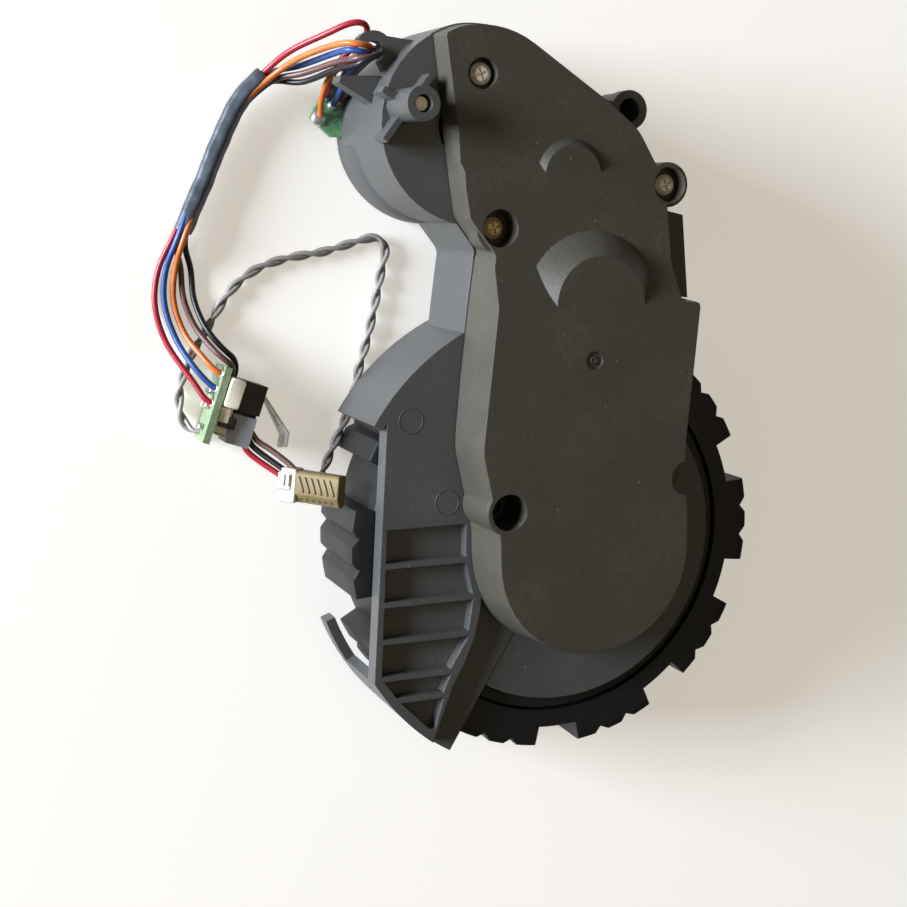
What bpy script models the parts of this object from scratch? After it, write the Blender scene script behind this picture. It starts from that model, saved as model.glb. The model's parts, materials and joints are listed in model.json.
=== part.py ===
"""Robot vacuum wheel module: a driven wheel on a geared arm, lying on its wheel's outer face.

The origin is the wheel's axis on the surface that the module lies on, +Z is up, along the wheel's
axis, and +Y points from the wheel to the motor. All sizes are in metres.
"""
import math

import bmesh
import bpy
from mathutils import Matrix, Vector

# Fits
GAP = 0.0003              # gap between touching pieces
RUNNING_GAP = 0.0004      # gap between a turning piece and what it passes

# Wheel
WHEEL_RADIUS = 0.039
WHEEL_WIDTH = 0.0185
TREAD_DEPTH = 0.0035
TREAD_GROUPS = 10
TREAD_TURN = math.radians(0.4)
LUG_NOTCH = 0.0011
SHOULDER = 0.0018         # chamfer on the tread's two edges
TYRE_WALL = 0.0033        # rubber under the grooves
RIM_WALL = 0.0020
HUB_FACE_HEIGHT = 0.0012  # the hub's outer face above the floor
HUB_WEB = 0.0022
HUB_BOSS_RADIUS = 0.0058
HUB_BOSS_TOP = WHEEL_WIDTH - 0.0053
HUB_RIBS = 6
HUB_RIB_WIDTH = 0.0014
CAP_RADIUS = 0.0105
CAP_EDGE = 0.0004
SHAFT_RADIUS = 0.0025

# Gearbox: what lies over the wheel, with its levels as shares of its height
PLATE_BOTTOM = WHEEL_WIDTH + RUNNING_GAP
GEARBOX_HEIGHT = 0.0143


def level(share):
    """Height above the floor of a level in the gearbox."""
    return PLATE_BOTTOM + GEARBOX_HEIGHT * share


FLOOR_THICKNESS = 0.0013
FLOOR_TOP = PLATE_BOTTOM + FLOOR_THICKNESS
FLANGE_TOP = level(0.2517)
MOTOR_PLATE_TOP = level(0.3566)
COVER_TOP = level(1)            # over the wheel
COVER_MIDDLE = level(0.7448)    # over the second gear
COVER_LOW = level(0.6713)       # over the motor
COVER_WALL = 0.0015
SKIRT_WALL = 0.0016
LARGE_RAMP = (0.0422, 0.0488)   # where the cover steps down from its top level
SMALL_RAMP = (0.0640, 0.0656)   # where it steps down to its low level
LARGE_PLATEAU_RADIUS = 0.0081
LARGE_PLATEAU_FLANK = 0.0041
SMALL_PLATEAU_RADIUS = 0.0051
SMALL_PLATEAU_FLANK = 0.0011

# Motor's place
MOTOR_AXIS = Vector((-0.0187, 0.0716, 0))
CUP_RADIUS = 0.0162
CUP_REACH = MOTOR_AXIS.y + CUP_RADIUS      # far side of the motor's cup

# The cover's outline: x, y, corner radius and steps in the corner, anticlockwise
FOOT_OUTLINE = (
    (-0.0182, -0.0182, 0.0180, 12), (0.0190, -0.0182, 0.0182, 12), (0.0186, 0.0060, 0.0120, 2),
    (0.0181, 0.0170, 0.0250, 2), (0.0204, 0.0429, 0.0009, 2), (0.0173, 0.0431, 0.0006, 2),
    (0.0155, 0.0575, 0.0015, 2), (0.0150, 0.0630, 0.0020, 2), (0.0099, 0.0718, 0.0090, 3),
    (0.0044, 0.0762, 0.0060, 2), (-0.0137, CUP_REACH + 0.0002, 0.0164, 5), (-0.0222, CUP_REACH + 0.0002, 0.0110, 4),
    (-0.0265, CUP_REACH - 0.0018, 0.0004, 1), (-0.0252, 0.0708, 0.0100, 2), (-0.0229, 0.0570, 0.0030, 3),
    (-0.0182, 0.0508, 0.0020, 3), (-0.0194, 0.0420, 0.0100, 2), (-0.0206, 0.0320, 0.0300, 2),
    (-0.0219, 0.0185, 0.0120, 3), (-0.0188, 0.0040, 0.0080, 2))
TOP_OUTLINE = (
    (-0.0172, -0.0175, 0.0172, 12), (0.0181, -0.0175, 0.0174, 12), (0.0178, 0.0060, 0.0120, 2),
    (0.0170, 0.0168, 0.0250, 2), (0.0194, 0.0424, 0.0008, 2), (0.0159, 0.0425, 0.0005, 2),
    (0.0142, 0.0572, 0.0015, 2), (0.0138, 0.0627, 0.0020, 2), (0.0089, 0.0709, 0.0090, 3),
    (0.0036, 0.0750, 0.0060, 2), (-0.0142, CUP_REACH - 0.0009, 0.0160, 5), (-0.0220, CUP_REACH - 0.0009, 0.0105, 4),
    (-0.0247, CUP_REACH - 0.0022, 0.0004, 1), (-0.0221, 0.0707, 0.0100, 2), (-0.0212, 0.0565, 0.0030, 3),
    (-0.0165, 0.0507, 0.0020, 3), (-0.0182, 0.0420, 0.0100, 2), (-0.0193, 0.0320, 0.0300, 2),
    (-0.0208, 0.0185, 0.0120, 3), (-0.0176, 0.0040, 0.0080, 2))

SPRING_POST = MOTOR_AXIS + Vector((-0.7654, 0.1790, 0)) * CUP_RADIUS
SPRING_POST_RADIUS = 0.0028
SPRING_POST_TOP = COVER_TOP + 0.0003
SPRING_PIN_RADIUS = 0.0011
SPRING_PIN_BOTTOM = MOTOR_PLATE_TOP + 0.0023
PARTING_STEP = (0.0500, 0.0520)
BRACKET_TOP = WHEEL_WIDTH
HOOK_PLACE = Vector((-0.0154, 0.0118, 0))   # from the motor's axis
HOOK_BORE = 0.0017
HOOK_WIDTH = 0.0017
HOOK_THICKNESS = 0.0022
HOOK_ARC = (-60, 142)
SHELF_THICKNESS = 0.0038
LEDGE_TOP = level(0.5524)
BUSH_BOTTOM = level(0.6364)
LEDGE_OUTLINE = ((0.0162, 0.0435), (0.0204, 0.0427), (0.0191, 0.0570), (0.0146, 0.0580))

# Gear train: axes and teeth of each pair, from the motor to the wheel
GEAR_1_AXIS = Vector((-0.0032, 0.0635, 0))
GEAR_2_AXIS = Vector((0.0005, 0.0424, 0))
GEAR_3_AXIS = Vector((-0.0014, 0.0210, 0))
WHEEL_AXIS = Vector((0, 0, 0))
PIN_RADIUS = 0.00125
MOTOR_TEETH, GEAR_1_TEETH = 22, 49
GEAR_1_PINION, GEAR_2_TEETH = 24, 37
GEAR_2_PINION, GEAR_3_TEETH = 18, 35
GEAR_3_PINION, WHEEL_TEETH = 14, 26
MESH_LOW = (level(0.120), level(0.300))
MESH_SECOND = (level(0.364), level(0.531))
MESH_THIRD = (level(0.580), level(0.804))
MESH_WHEEL = (level(0.126), level(0.307))

# Motor and its cup
CUP_WALL = 0.0014
CUP_CLEARANCE = 0.0007
MOTOR_CAN_RADIUS = CUP_RADIUS - CUP_WALL - CUP_CLEARANCE
MOTOR_CAN_BOTTOM = 0.0052
END_CAP_HEIGHT = 0.0014
MOTOR_SHAFT_RADIUS = 0.0010
BOARD_THICKNESS = 0.0012
ENCODER_BOARD_BOTTOM = 0.0019
BOARD_TAB_END = MOTOR_AXIS.x - CUP_RADIUS - 0.0055

# Wheel arch, flange and fender
ARCH_INNER = WHEEL_RADIUS + 0.0017
ARCH_WALL = 0.0018
ARCH_OUTER = ARCH_INNER + ARCH_WALL
ARCH_BOTTOM = 0.0025
BAY_BOTTOM = 0.0055
DISC_RADIUS = WHEEL_RADIUS * 0.754
RIB_WIDTH = 0.0010
POCKET_FLOOR = 0.0203
RIB_LINES = (0.120, -0.040, -0.198, -0.351, -0.504, -0.600)   # shares of the arch's outer radius
BLADE_TOP = 0.0060

# Screws: x, y, counterbore radius and level of the head's seat
HEAD_RADIUS = 0.0018
HEAD_HEIGHT = 0.0013
SHANK_RADIUS = 0.0010
SHANK_END = FLOOR_TOP + 0.0008
COVER_SCREWS = (
    (-0.0191, 0.0797, 0.0025, level(0.5175)), (-0.0163, 0.0550, 0.0031, level(0.4266)),
    (0.0149, 0.0621, 0.0029, level(0.5315)), (-0.0160, 0.0083, 0.0031, level(0.3706)),
    (0.0176, 0.0119, 0.0030, level(0.3706)))
SCREW_TUBE_WALL = 0.0009
SCREW_POST_WALL = 0.0008   # round the pilot holes in the base

# Free harness with its switch and plug
WIRE = 0.00105
SLEEVE = 0.0034
SWITCH_CENTRE = Vector((-0.0534, 0.0231, 0))
SWITCH_TURN = math.radians(-19.1)
SWITCH_LENGTH = 0.0112
SWITCH_WIDTH = 0.0042
SWITCH_HEIGHT = 0.0058
SWITCH_BASE = 0.0004
LEVER_THICKNESS = 0.0003
LEVER_LENGTH = 0.0080
LEVER_TIP = 0.0025
LEVER_WIDTH = 0.0027
LEVER_BOTTOM = 0.0011
LEVER_OPENING = math.radians(46)
LEVER_BEND = math.radians(38)
PLUNGER_REACH = 0.0008
PLUNGER_ROOT = 0.0009
PLUNGER_WIDTH = 0.0013
PLUNGER_PLACE = 0.0016
PLUNGER_TRAVEL = 0.0004
SWITCH_BOARD_OFFSET = 0.0058
PLUG_BACK = Vector((-0.0474, 0.0110, 0.0080))    # middle of its wire end
PLUG_FRONT = Vector((-0.0395, 0.0102, 0.0152))   # middle of its open end, against the tread
PLUG_WIDTH = 0.0058
PLUG_THICKNESS = 0.0030
PLUG_PITCH = 0.00125

PARTS = None
CUTTERS = None
BENCH = None


# Scene helpers

def clear_scene():
    for item in list(bpy.data.objects):
        bpy.data.objects.remove(item, do_unlink=True)


def new_collection(name):
    collection = bpy.data.collections.new(name)
    bpy.context.scene.collection.children.link(collection)
    return collection


def adopt(item, collection):
    for owner in list(item.users_collection):
        owner.objects.unlink(item)
    collection.objects.link(item)
    return item


def material(name, colour, roughness, metallic=0.0):
    made = bpy.data.materials.get(name)
    if made is None:
        made = bpy.data.materials.new(name)
        made.use_nodes = True
        shader = made.node_tree.nodes["Principled BSDF"]
        shader.inputs["Base Color"].default_value = (*colour, 1.0)
        shader.inputs["Roughness"].default_value = roughness
        shader.inputs["Metallic"].default_value = metallic
    return made


def black_rubber():
    return material("black_rubber", (0.012, 0.012, 0.013), 0.85)


def charcoal_abs():
    return material("charcoal_abs", (0.085, 0.086, 0.080), 0.6)


def grey_nylon():
    return material("grey_nylon", (0.50, 0.50, 0.47), 0.5)


def steel():
    return material("steel", (0.62, 0.61, 0.58), 0.3, 1.0)


def brass():
    return material("brass", (0.72, 0.53, 0.24), 0.3, 1.0)


def board_green():
    return material("board_green", (0.16, 0.42, 0.20), 0.45)


def cream_nylon():
    return material("cream_nylon", (0.80, 0.72, 0.55), 0.5)


def black_phenolic():
    return material("black_phenolic", (0.02, 0.02, 0.025), 0.45)


def wire_insulation(name, colour):
    return material(name, colour, 0.45)


# Shape helpers

def weld(mesh):
    """Join the doubled corners of a converted curve."""
    work = bmesh.new()
    work.from_mesh(mesh)
    bmesh.ops.remove_doubles(work, verts=work.verts, dist=1e-7)
    bmesh.ops.recalc_face_normals(work, faces=work.faces)
    work.to_mesh(mesh)
    work.free()


def rounded(corners):
    """Outline of a polygon whose corners are (x, y, radius, steps), with an arc in each."""
    points = []
    count = len(corners)
    for index, (x, y, radius, steps) in enumerate(corners):
        here = Vector((x, y))
        back = (Vector(corners[index - 1][:2]) - here).normalized()
        ahead = (Vector(corners[(index + 1) % count][:2]) - here).normalized()
        half = back.angle(ahead) / 2
        centre = here + (back + ahead).normalized() * (radius / math.sin(half))
        start = here + back * (radius / math.tan(half)) - centre
        end = here + ahead * (radius / math.tan(half)) - centre
        sweep = start.angle_signed(end)
        for step in range(steps + 1):
            turn = Matrix.Rotation(-sweep * step / steps, 2)
            points.append(tuple(centre + turn @ start))
    return points


def inset(corners, distance):
    """The same polygon moved inwards, with its corner radii following."""
    moved = []
    count = len(corners)
    for index, (x, y, radius, steps) in enumerate(corners):
        here = Vector((x, y))
        back = (here - Vector(corners[index - 1][:2])).normalized()
        ahead = (Vector(corners[(index + 1) % count][:2]) - here).normalized()
        inward_back = Vector((-back.y, back.x))
        inward_ahead = Vector((-ahead.y, ahead.x))
        bisector = (inward_back + inward_ahead).normalized()
        shift = distance / max(bisector.dot(inward_back), 0.3)
        turning = back.cross(ahead)
        corner_radius = radius - distance if turning > 0 else radius + distance
        point = here + bisector * shift
        moved.append((point.x, point.y, max(corner_radius, 0.0003), steps))
    return tuple(moved)


def arc(centre, radius, start, end, steps):
    """Points on an arc from one angle to another, in radians."""
    angles = [start + (end - start) * step / steps for step in range(steps + 1)]
    return [(centre[0] + radius * math.cos(a), centre[1] + radius * math.sin(a)) for a in angles]


def circle(centre, radius, steps):
    return arc(centre, radius, 0, math.tau * (steps - 1) / steps, steps - 1)


def prism(name, outlines, bottom, top):
    """A flat outline, with any holes in it, given a thickness along Z."""
    shape = bpy.data.curves.new(name, "CURVE")
    shape.dimensions = "2D"
    shape.fill_mode = "BOTH"
    shape.extrude = (top - bottom) / 2
    for outline in outlines:
        spline = shape.splines.new("POLY")
        spline.points.add(len(outline) - 1)
        for point, (x, y) in zip(spline.points, outline):
            point.co = (x, y, 0, 1)
        spline.use_cyclic_u = True
    item = bpy.data.objects.new(name, shape)
    item.location.z = (bottom + top) / 2
    BENCH.collection.objects.link(item)
    return as_mesh(item)


def as_mesh(item):
    """Swap a curve object on the bench for a mesh object with the same place and name."""
    layer = BENCH.view_layers[0]
    layer.update()
    mesh = bpy.data.meshes.new_from_object(item.evaluated_get(layer.depsgraph))
    mesh.transform(item.matrix_world)
    name = item.name
    bpy.data.objects.remove(item, do_unlink=True)
    weld(mesh)
    return from_mesh(name, mesh)


def from_mesh(name, mesh):
    mesh.name = name
    item = bpy.data.objects.new(name, mesh)
    PARTS.objects.link(item)
    return item


def from_work(name, work):
    """An object from a bmesh, which is then done with."""
    mesh = bpy.data.meshes.new(name)
    work.to_mesh(mesh)
    work.free()
    return from_mesh(name, mesh)


def tapered_prism(name, low, high, bottom, top):
    """A prism whose upper outline differs from its lower one, point for point."""
    item = prism(name, [low], bottom, top)
    targets = {(round(x, 7), round(y, 7)): end for (x, y), end in zip(low, high)}
    middle = (bottom + top) / 2
    for vertex in item.data.vertices:
        if vertex.co.z > middle:
            end = targets[(round(vertex.co.x, 7), round(vertex.co.y, 7))]
            vertex.co.x, vertex.co.y = end
    return item


def drum(name, centre, radius, bottom, top, steps=32, top_radius=None):
    """A cylinder, or a cone where the top radius differs."""
    work = bmesh.new()
    bmesh.ops.create_cone(work, cap_ends=True, segments=steps, radius1=radius,
                          radius2=radius if top_radius is None else top_radius, depth=top - bottom)
    item = from_work(name, work)
    item.location = (centre[0], centre[1], (bottom + top) / 2)
    return item


def block(name, centre, size, turn=0.0):
    work = bmesh.new()
    bmesh.ops.create_cube(work, size=1, matrix=Matrix.Diagonal((*size, 1)))
    item = from_work(name, work)
    item.location = centre
    item.rotation_euler.z = turn
    return item


def turned(name, centre, profile, steps=32, ring=True):
    """A profile of (radius, height) points, top to bottom on its outer side, turned about Z.

    A ring's profile is closed; a solid of revolution's starts and ends on the axis.
    """
    work = bmesh.new()
    corners = [work.verts.new((radius, 0, height)) for radius, height in profile]
    for first, second in zip(corners, corners[1:] + (corners[:1] if ring else [])):
        work.edges.new((first, second))
    item = from_work(name, work)
    item.location = (centre[0], centre[1], 0)
    screw = item.modifiers.new("turn", "SCREW")
    screw.steps = steps
    screw.render_steps = steps
    screw.use_merge_vertices = True
    screw.merge_threshold = 1e-6
    return item


def boolean(target, tool, operation):
    """Join or cut: the mouldings have walls that share a plane, which the manifold solver keeps closed."""
    moulding = target.name.startswith(("base_", "bay", "cover_", "gearbox_"))
    modifier = target.modifiers.new(operation.lower() + "_" + tool.name, "BOOLEAN")
    modifier.operation = operation
    modifier.solver = "MANIFOLD" if moulding and not target.name.startswith("cover_screw") else "EXACT"
    modifier.object = tool
    tool.hide_render = True
    tool.display_type = "WIRE"
    adopt(tool, CUTTERS)
    return target


def cut(target, tool):
    return boolean(target, tool, "DIFFERENCE")


def join(target, tool):
    return boolean(target, tool, "UNION")


def keep(target, tool):
    return boolean(target, tool, "INTERSECT")


def finish(item, name, look, axis=None, smooth=None):
    """Name the piece, give it its material, and put its origin on its axis."""
    item.name = name
    item.data.materials.clear()
    item.data.materials.append(look)
    if smooth is not None:
        item.data.shade_smooth()
        item.data.set_sharp_from_angle(angle=math.radians(smooth))
    if axis is not None:
        shift = Vector(axis) - item.location
        item.data.transform(Matrix.Translation(item.rotation_euler.to_matrix().inverted() @ -shift))
        item.location = axis
    return item


def tube(name, points, diameter, look):
    """A plain tube along a smooth curve through the route's points."""
    shape = bpy.data.curves.new(name, "CURVE")
    shape.dimensions = "3D"
    shape.bevel_depth = diameter / 2
    shape.bevel_resolution = 1
    shape.use_fill_caps = True
    spline = shape.splines.new("POLY")
    spline.points.add(len(points) - 1)
    for point, place in zip(spline.points, points):
        point.co = (*place, 1)
    item = bpy.data.objects.new(name, shape)
    item.data.materials.append(look)
    PARTS.objects.link(item)
    return item


def smooth_route(places, count):
    """Points spread along a Catmull-Rom curve through the chosen places."""
    ends = [Vector(p) for p in places]
    ends = [ends[0] * 2 - ends[1]] + ends + [ends[-1] * 2 - ends[-2]]
    dense = []
    for index in range(1, len(ends) - 2):
        before, start, end, after = ends[index - 1:index + 3]
        for step in range(12):
            t = step / 12
            dense.append(0.5 * (2 * start + (end - before) * t
                                + (2 * before - 5 * start + 4 * end - after) * t * t
                                + (3 * start - before - 3 * end + after) * t ** 3))
    dense.append(ends[-2])
    lengths = [0.0]
    for first, second in zip(dense, dense[1:]):
        lengths.append(lengths[-1] + (second - first).length)
    route = []
    for number in range(count):
        goal = lengths[-1] * number / (count - 1)
        index = max(i for i, value in enumerate(lengths) if value <= goal + 1e-12)
        if index == len(dense) - 1:
            route.append(tuple(dense[-1]))
            continue
        share = (goal - lengths[index]) / (lengths[index + 1] - lengths[index])
        route.append(tuple(dense[index].lerp(dense[index + 1], share)))
    return route


# Wheel

def tread_outline():
    """Ten groups of three lugs, each lug parted by a shallow notch and each group by a groove."""
    floor = WHEEL_RADIUS - TREAD_DEPTH
    notch = WHEEL_RADIUS - LUG_NOTCH
    step = math.tau / TREAD_GROUPS
    profile = (
        (-0.335, floor), (-0.322, WHEEL_RADIUS), (-0.175, WHEEL_RADIUS), (-0.122, notch),
        (-0.060, WHEEL_RADIUS), (0.055, WHEEL_RADIUS), (0.112, notch), (0.170, WHEEL_RADIUS),
        (0.318, WHEEL_RADIUS), (0.335, floor))
    points = []
    for group in range(TREAD_GROUPS):
        for share, radius in profile:
            angle = TREAD_TURN + (group + share) * step
            points.append((radius * math.cos(angle), radius * math.sin(angle)))
    return points


def tyre():
    inner = WHEEL_RADIUS - TREAD_DEPTH - TYRE_WALL
    item = prism("tyre", [tread_outline(), circle(WHEEL_AXIS, inner, 60)], 0, WHEEL_WIDTH)
    outside = WHEEL_RADIUS + 0.003
    shoulders = turned("shoulder_cutter", WHEEL_AXIS, (
        (outside, WHEEL_WIDTH + 0.001), (outside, -0.001), (WHEEL_RADIUS - 0.0008 - SHOULDER, -0.001),
        (WHEEL_RADIUS + 0.0004, SHOULDER), (WHEEL_RADIUS + 0.0004, WHEEL_WIDTH - SHOULDER),
        (WHEEL_RADIUS - 0.0008 - SHOULDER, WHEEL_WIDTH + 0.001)), 60)
    cut(item, shoulders)
    return finish(item, "tyre", black_rubber(), WHEEL_AXIS)


def wheel_hub():
    rim = WHEEL_RADIUS - TREAD_DEPTH - TYRE_WALL - GAP
    web_top = HUB_FACE_HEIGHT + HUB_WEB
    rim_top = WHEEL_WIDTH - 0.0008
    bore = SHAFT_RADIUS + GAP
    item = turned("wheel_hub", WHEEL_AXIS, (
        (rim, rim_top), (rim, HUB_FACE_HEIGHT), (bore, HUB_FACE_HEIGHT), (bore, HUB_BOSS_TOP),
        (HUB_BOSS_RADIUS, HUB_BOSS_TOP), (HUB_BOSS_RADIUS, web_top), (rim - RIM_WALL, web_top),
        (rim - RIM_WALL, rim_top)), 48)
    reach = rim - RIM_WALL / 2 - HUB_BOSS_RADIUS + 0.001
    for number in range(HUB_RIBS):
        angle = math.tau * (number + 0.5) / HUB_RIBS
        middle = HUB_BOSS_RADIUS - 0.001 + reach / 2
        place = (middle * math.cos(angle), middle * math.sin(angle), web_top + 0.0028)
        rib = block("hub_rib_%d" % number, place, (reach, HUB_RIB_WIDTH, 0.0060), angle)
        join(item, rib)
    return finish(item, "wheel_hub", charcoal_abs(), WHEEL_AXIS)


def hub_cap():
    top = HUB_FACE_HEIGHT - GAP
    item = turned("hub_cap", WHEEL_AXIS, (
        (0, top), (CAP_RADIUS, top), (CAP_RADIUS, CAP_EDGE), (CAP_RADIUS - CAP_EDGE, 0), (0, 0)), 32, False)
    return finish(item, "hub_cap", grey_nylon(), WHEEL_AXIS)


def wheel_shaft():
    bottom = HUB_FACE_HEIGHT + 0.0030
    top = COVER_TOP - COVER_WALL - 0.0006
    item = drum("wheel_shaft", WHEEL_AXIS, SHAFT_RADIUS, bottom, top, 24)
    return finish(item, "wheel_shaft", steel(), WHEEL_AXIS)


def hub_screw():
    """The screw that holds the hub on its shaft, from the outer face."""
    top = HUB_FACE_HEIGHT + 0.0030 - GAP
    item = drum("hub_screw", WHEEL_AXIS, SHAFT_RADIUS - 0.0002, HUB_FACE_HEIGHT + 0.0003, top, 16)
    return finish(item, "hub_screw", steel(), WHEEL_AXIS)


def bearing(name, bottom, top, outer):
    bore = SHAFT_RADIUS + GAP
    item = turned(name, WHEEL_AXIS, ((outer, top), (outer, bottom), (bore, bottom), (bore, top)), 24)
    return finish(item, name, steel(), WHEEL_AXIS)


# Gear train

def gear_outline(centre, teeth, module, towards, has_tooth):
    """Trapezoid teeth, with a tooth or a gap that faces the mating gear."""
    pitch = teeth * module / 2
    tip, root = pitch + 0.85 * module, pitch - 1.15 * module
    step = math.tau / teeth
    aim = math.atan2(towards[1] - centre[1], towards[0] - centre[0])
    first = aim if has_tooth else aim + step / 2
    points = []
    for tooth in range(teeth):
        middle = first + tooth * step
        for share, radius in ((-0.29, root), (-0.11, tip), (0.11, tip), (0.29, root)):
            angle = middle + share * step
            points.append((centre[0] + radius * math.cos(angle), centre[1] + radius * math.sin(angle)))
    return points


def module_of(first, second, teeth_sum):
    """The module that makes a pair fill the distance between its two axes."""
    return 2 * (second - first).length / teeth_sum


def pitch_radius(first, second, first_teeth, teeth):
    """Pitch radius of a pair's second gear."""
    return module_of(first, second, first_teeth + teeth) * teeth / 2


def compound_gear(name, axis, large, small, bore):
    """Two toothed rings on one boss: each is (teeth, module, mate's axis, has_tooth, levels)."""
    teeth, module, mate, has_tooth, levels = large
    item = prism(name, [gear_outline(axis, teeth, module, mate, has_tooth)], *levels)
    teeth, module, mate, has_tooth, small_levels = small
    join(item, prism(name + "_pinion", [gear_outline(axis, teeth, module, mate, has_tooth)], *small_levels))
    middles = sorted((sum(levels) / 2, sum(small_levels) / 2))
    join(item, drum(name + "_boss", axis, module * (teeth / 2 - 1.15) - 0.0010, *middles, 32))
    cut(item, drum(name + "_bore", axis, bore, FLOOR_TOP - 0.001, COVER_TOP, 16))
    return finish(item, name, grey_nylon(), axis)


def gears():
    first = module_of(MOTOR_AXIS, GEAR_1_AXIS, MOTOR_TEETH + GEAR_1_TEETH)
    second = module_of(GEAR_1_AXIS, GEAR_2_AXIS, GEAR_1_PINION + GEAR_2_TEETH)
    third = module_of(GEAR_2_AXIS, GEAR_3_AXIS, GEAR_2_PINION + GEAR_3_TEETH)
    last = module_of(GEAR_3_AXIS, WHEEL_AXIS, GEAR_3_PINION + WHEEL_TEETH)
    bore = PIN_RADIUS + GAP
    compound_gear("gear_1", GEAR_1_AXIS,
                  (GEAR_1_TEETH, first, MOTOR_AXIS, False, MESH_LOW),
                  (GEAR_1_PINION, second, GEAR_2_AXIS, True, MESH_SECOND), bore)
    compound_gear("gear_2", GEAR_2_AXIS,
                  (GEAR_2_TEETH, second, GEAR_1_AXIS, False, MESH_SECOND),
                  (GEAR_2_PINION, third, GEAR_3_AXIS, True, MESH_THIRD), bore)
    compound_gear("gear_3", GEAR_3_AXIS,
                  (GEAR_3_TEETH, third, GEAR_2_AXIS, False, MESH_THIRD),
                  (GEAR_3_PINION, last, WHEEL_AXIS, True, MESH_WHEEL), bore)
    output = prism("output_gear", [gear_outline(WHEEL_AXIS, WHEEL_TEETH, last, GEAR_3_AXIS, False)],
                   *MESH_WHEEL)
    join(output, drum("output_boss", WHEEL_AXIS, 0.0050, MESH_WHEEL[1] - 0.0005, MESH_WHEEL[1] + 0.0022, 24))
    cut(output, drum("output_bore", WHEEL_AXIS, SHAFT_RADIUS + GAP, FLOOR_TOP - 0.001, COVER_TOP, 24))
    finish(output, "output_gear", grey_nylon(), WHEEL_AXIS)
    pinion = prism("motor_pinion", [gear_outline(MOTOR_AXIS, MOTOR_TEETH, first, GEAR_1_AXIS, True)],
                   *MESH_LOW)
    cut(pinion, drum("pinion_bore", MOTOR_AXIS, MOTOR_SHAFT_RADIUS + GAP, FLOOR_TOP - 0.001, COVER_LOW, 16))
    finish(pinion, "motor_pinion", brass(), MOTOR_AXIS)
    for number, axis, ceiling in ((1, GEAR_1_AXIS, COVER_MIDDLE), (2, GEAR_2_AXIS, COVER_TOP),
                                  (3, GEAR_3_AXIS, COVER_TOP)):
        name = "gear_pin_%d" % number
        pin = drum(name, axis, PIN_RADIUS, pin_foot() + GAP, ceiling - COVER_WALL - GAP, 16)
        finish(pin, name, steel(), axis)


def pin_foot():
    """Bottom of the blind holes in the gearbox floor."""
    return PLATE_BOTTOM + 0.0004


# Motor

def motor():
    can_top = PLATE_BOTTOM - GAP
    can = turned("motor_can", MOTOR_AXIS, (
        (MOTOR_CAN_RADIUS - 0.0010, can_top), (MOTOR_CAN_RADIUS, can_top - 0.0010),
        (MOTOR_CAN_RADIUS, MOTOR_CAN_BOTTOM), (0.0022, MOTOR_CAN_BOTTOM), (0.0022, can_top)), 32)
    finish(can, "motor_can", steel(), MOTOR_AXIS)
    cap_top = MOTOR_CAN_BOTTOM - GAP
    cap_bottom = cap_top - END_CAP_HEIGHT
    cap = turned("motor_end_cap", MOTOR_AXIS, (
        (MOTOR_CAN_RADIUS - 0.0006, cap_top), (MOTOR_CAN_RADIUS - 0.0006, cap_bottom),
        (0.0022, cap_bottom), (0.0022, cap_top)), 32)
    finish(cap, "motor_end_cap", black_phenolic(), MOTOR_AXIS)
    shaft = drum("motor_shaft", MOTOR_AXIS, MOTOR_SHAFT_RADIUS, ENCODER_BOARD_BOTTOM - 0.0011,
                 MESH_LOW[1] + 0.0006, 16)
    finish(shaft, "motor_shaft", steel(), MOTOR_AXIS)
    ring_top = ENCODER_BOARD_BOTTOM - 0.0003
    magnet = turned("encoder_magnet", MOTOR_AXIS, (
        (0.0036, ring_top), (0.0036, 0.0004), (MOTOR_SHAFT_RADIUS + GAP, 0.0004),
        (MOTOR_SHAFT_RADIUS + GAP, ring_top)), 20)
    finish(magnet, "encoder_magnet", black_phenolic(), MOTOR_AXIS)


def encoder_board():
    """A round board under the motor with a tab that reaches out of the cup for the wires."""
    radius = MOTOR_CAN_RADIUS - 0.0006
    left = MOTOR_AXIS.x
    tab_low, tab_high = MOTOR_AXIS.y - 0.0014, MOTOR_AXIS.y + CUP_RADIUS * 0.5185
    start = math.atan2(tab_low - MOTOR_AXIS.y, -math.sqrt(radius ** 2 - (tab_low - MOTOR_AXIS.y) ** 2))
    end = math.atan2(tab_high - MOTOR_AXIS.y, -math.sqrt(radius ** 2 - (tab_high - MOTOR_AXIS.y) ** 2))
    outline = arc(MOTOR_AXIS, radius, start, end, 24)
    outline += [(BOARD_TAB_END + 0.0035, tab_high), (BOARD_TAB_END, tab_high - 0.0065)]
    outline += [(BOARD_TAB_END + 0.0035, tab_low)]
    hole = circle(MOTOR_AXIS, 0.0020, 16)
    board = prism("encoder_board", [outline, hole], ENCODER_BOARD_BOTTOM,
                  ENCODER_BOARD_BOTTOM + BOARD_THICKNESS)
    finish(board, "encoder_board", board_green())
    for number, angle in enumerate((0.6, -0.6)):
        away = MOTOR_CAN_RADIUS * 0.745
        place = (left - away * math.cos(angle), MOTOR_AXIS.y + away * math.sin(angle),
                 ENCODER_BOARD_BOTTOM - 0.0005)
        tag = block("motor_terminal_%d" % (number + 1), place, (0.0016, 0.0006, 0.0004))
        finish(tag, tag.name, brass())


# Housing

def outline_prism(name, corners, bottom, top):
    return prism(name, [rounded(corners)], bottom, top)


def ring_sector(name, inner, outer, start, end, bottom, top, steps=16):
    first, last = math.radians(start), math.radians(end)
    outline = arc(WHEEL_AXIS, outer, first, last, steps)
    outline += list(reversed(arc(WHEEL_AXIS, inner, first, last, steps)))
    return prism(name, [outline], bottom, top)


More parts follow.
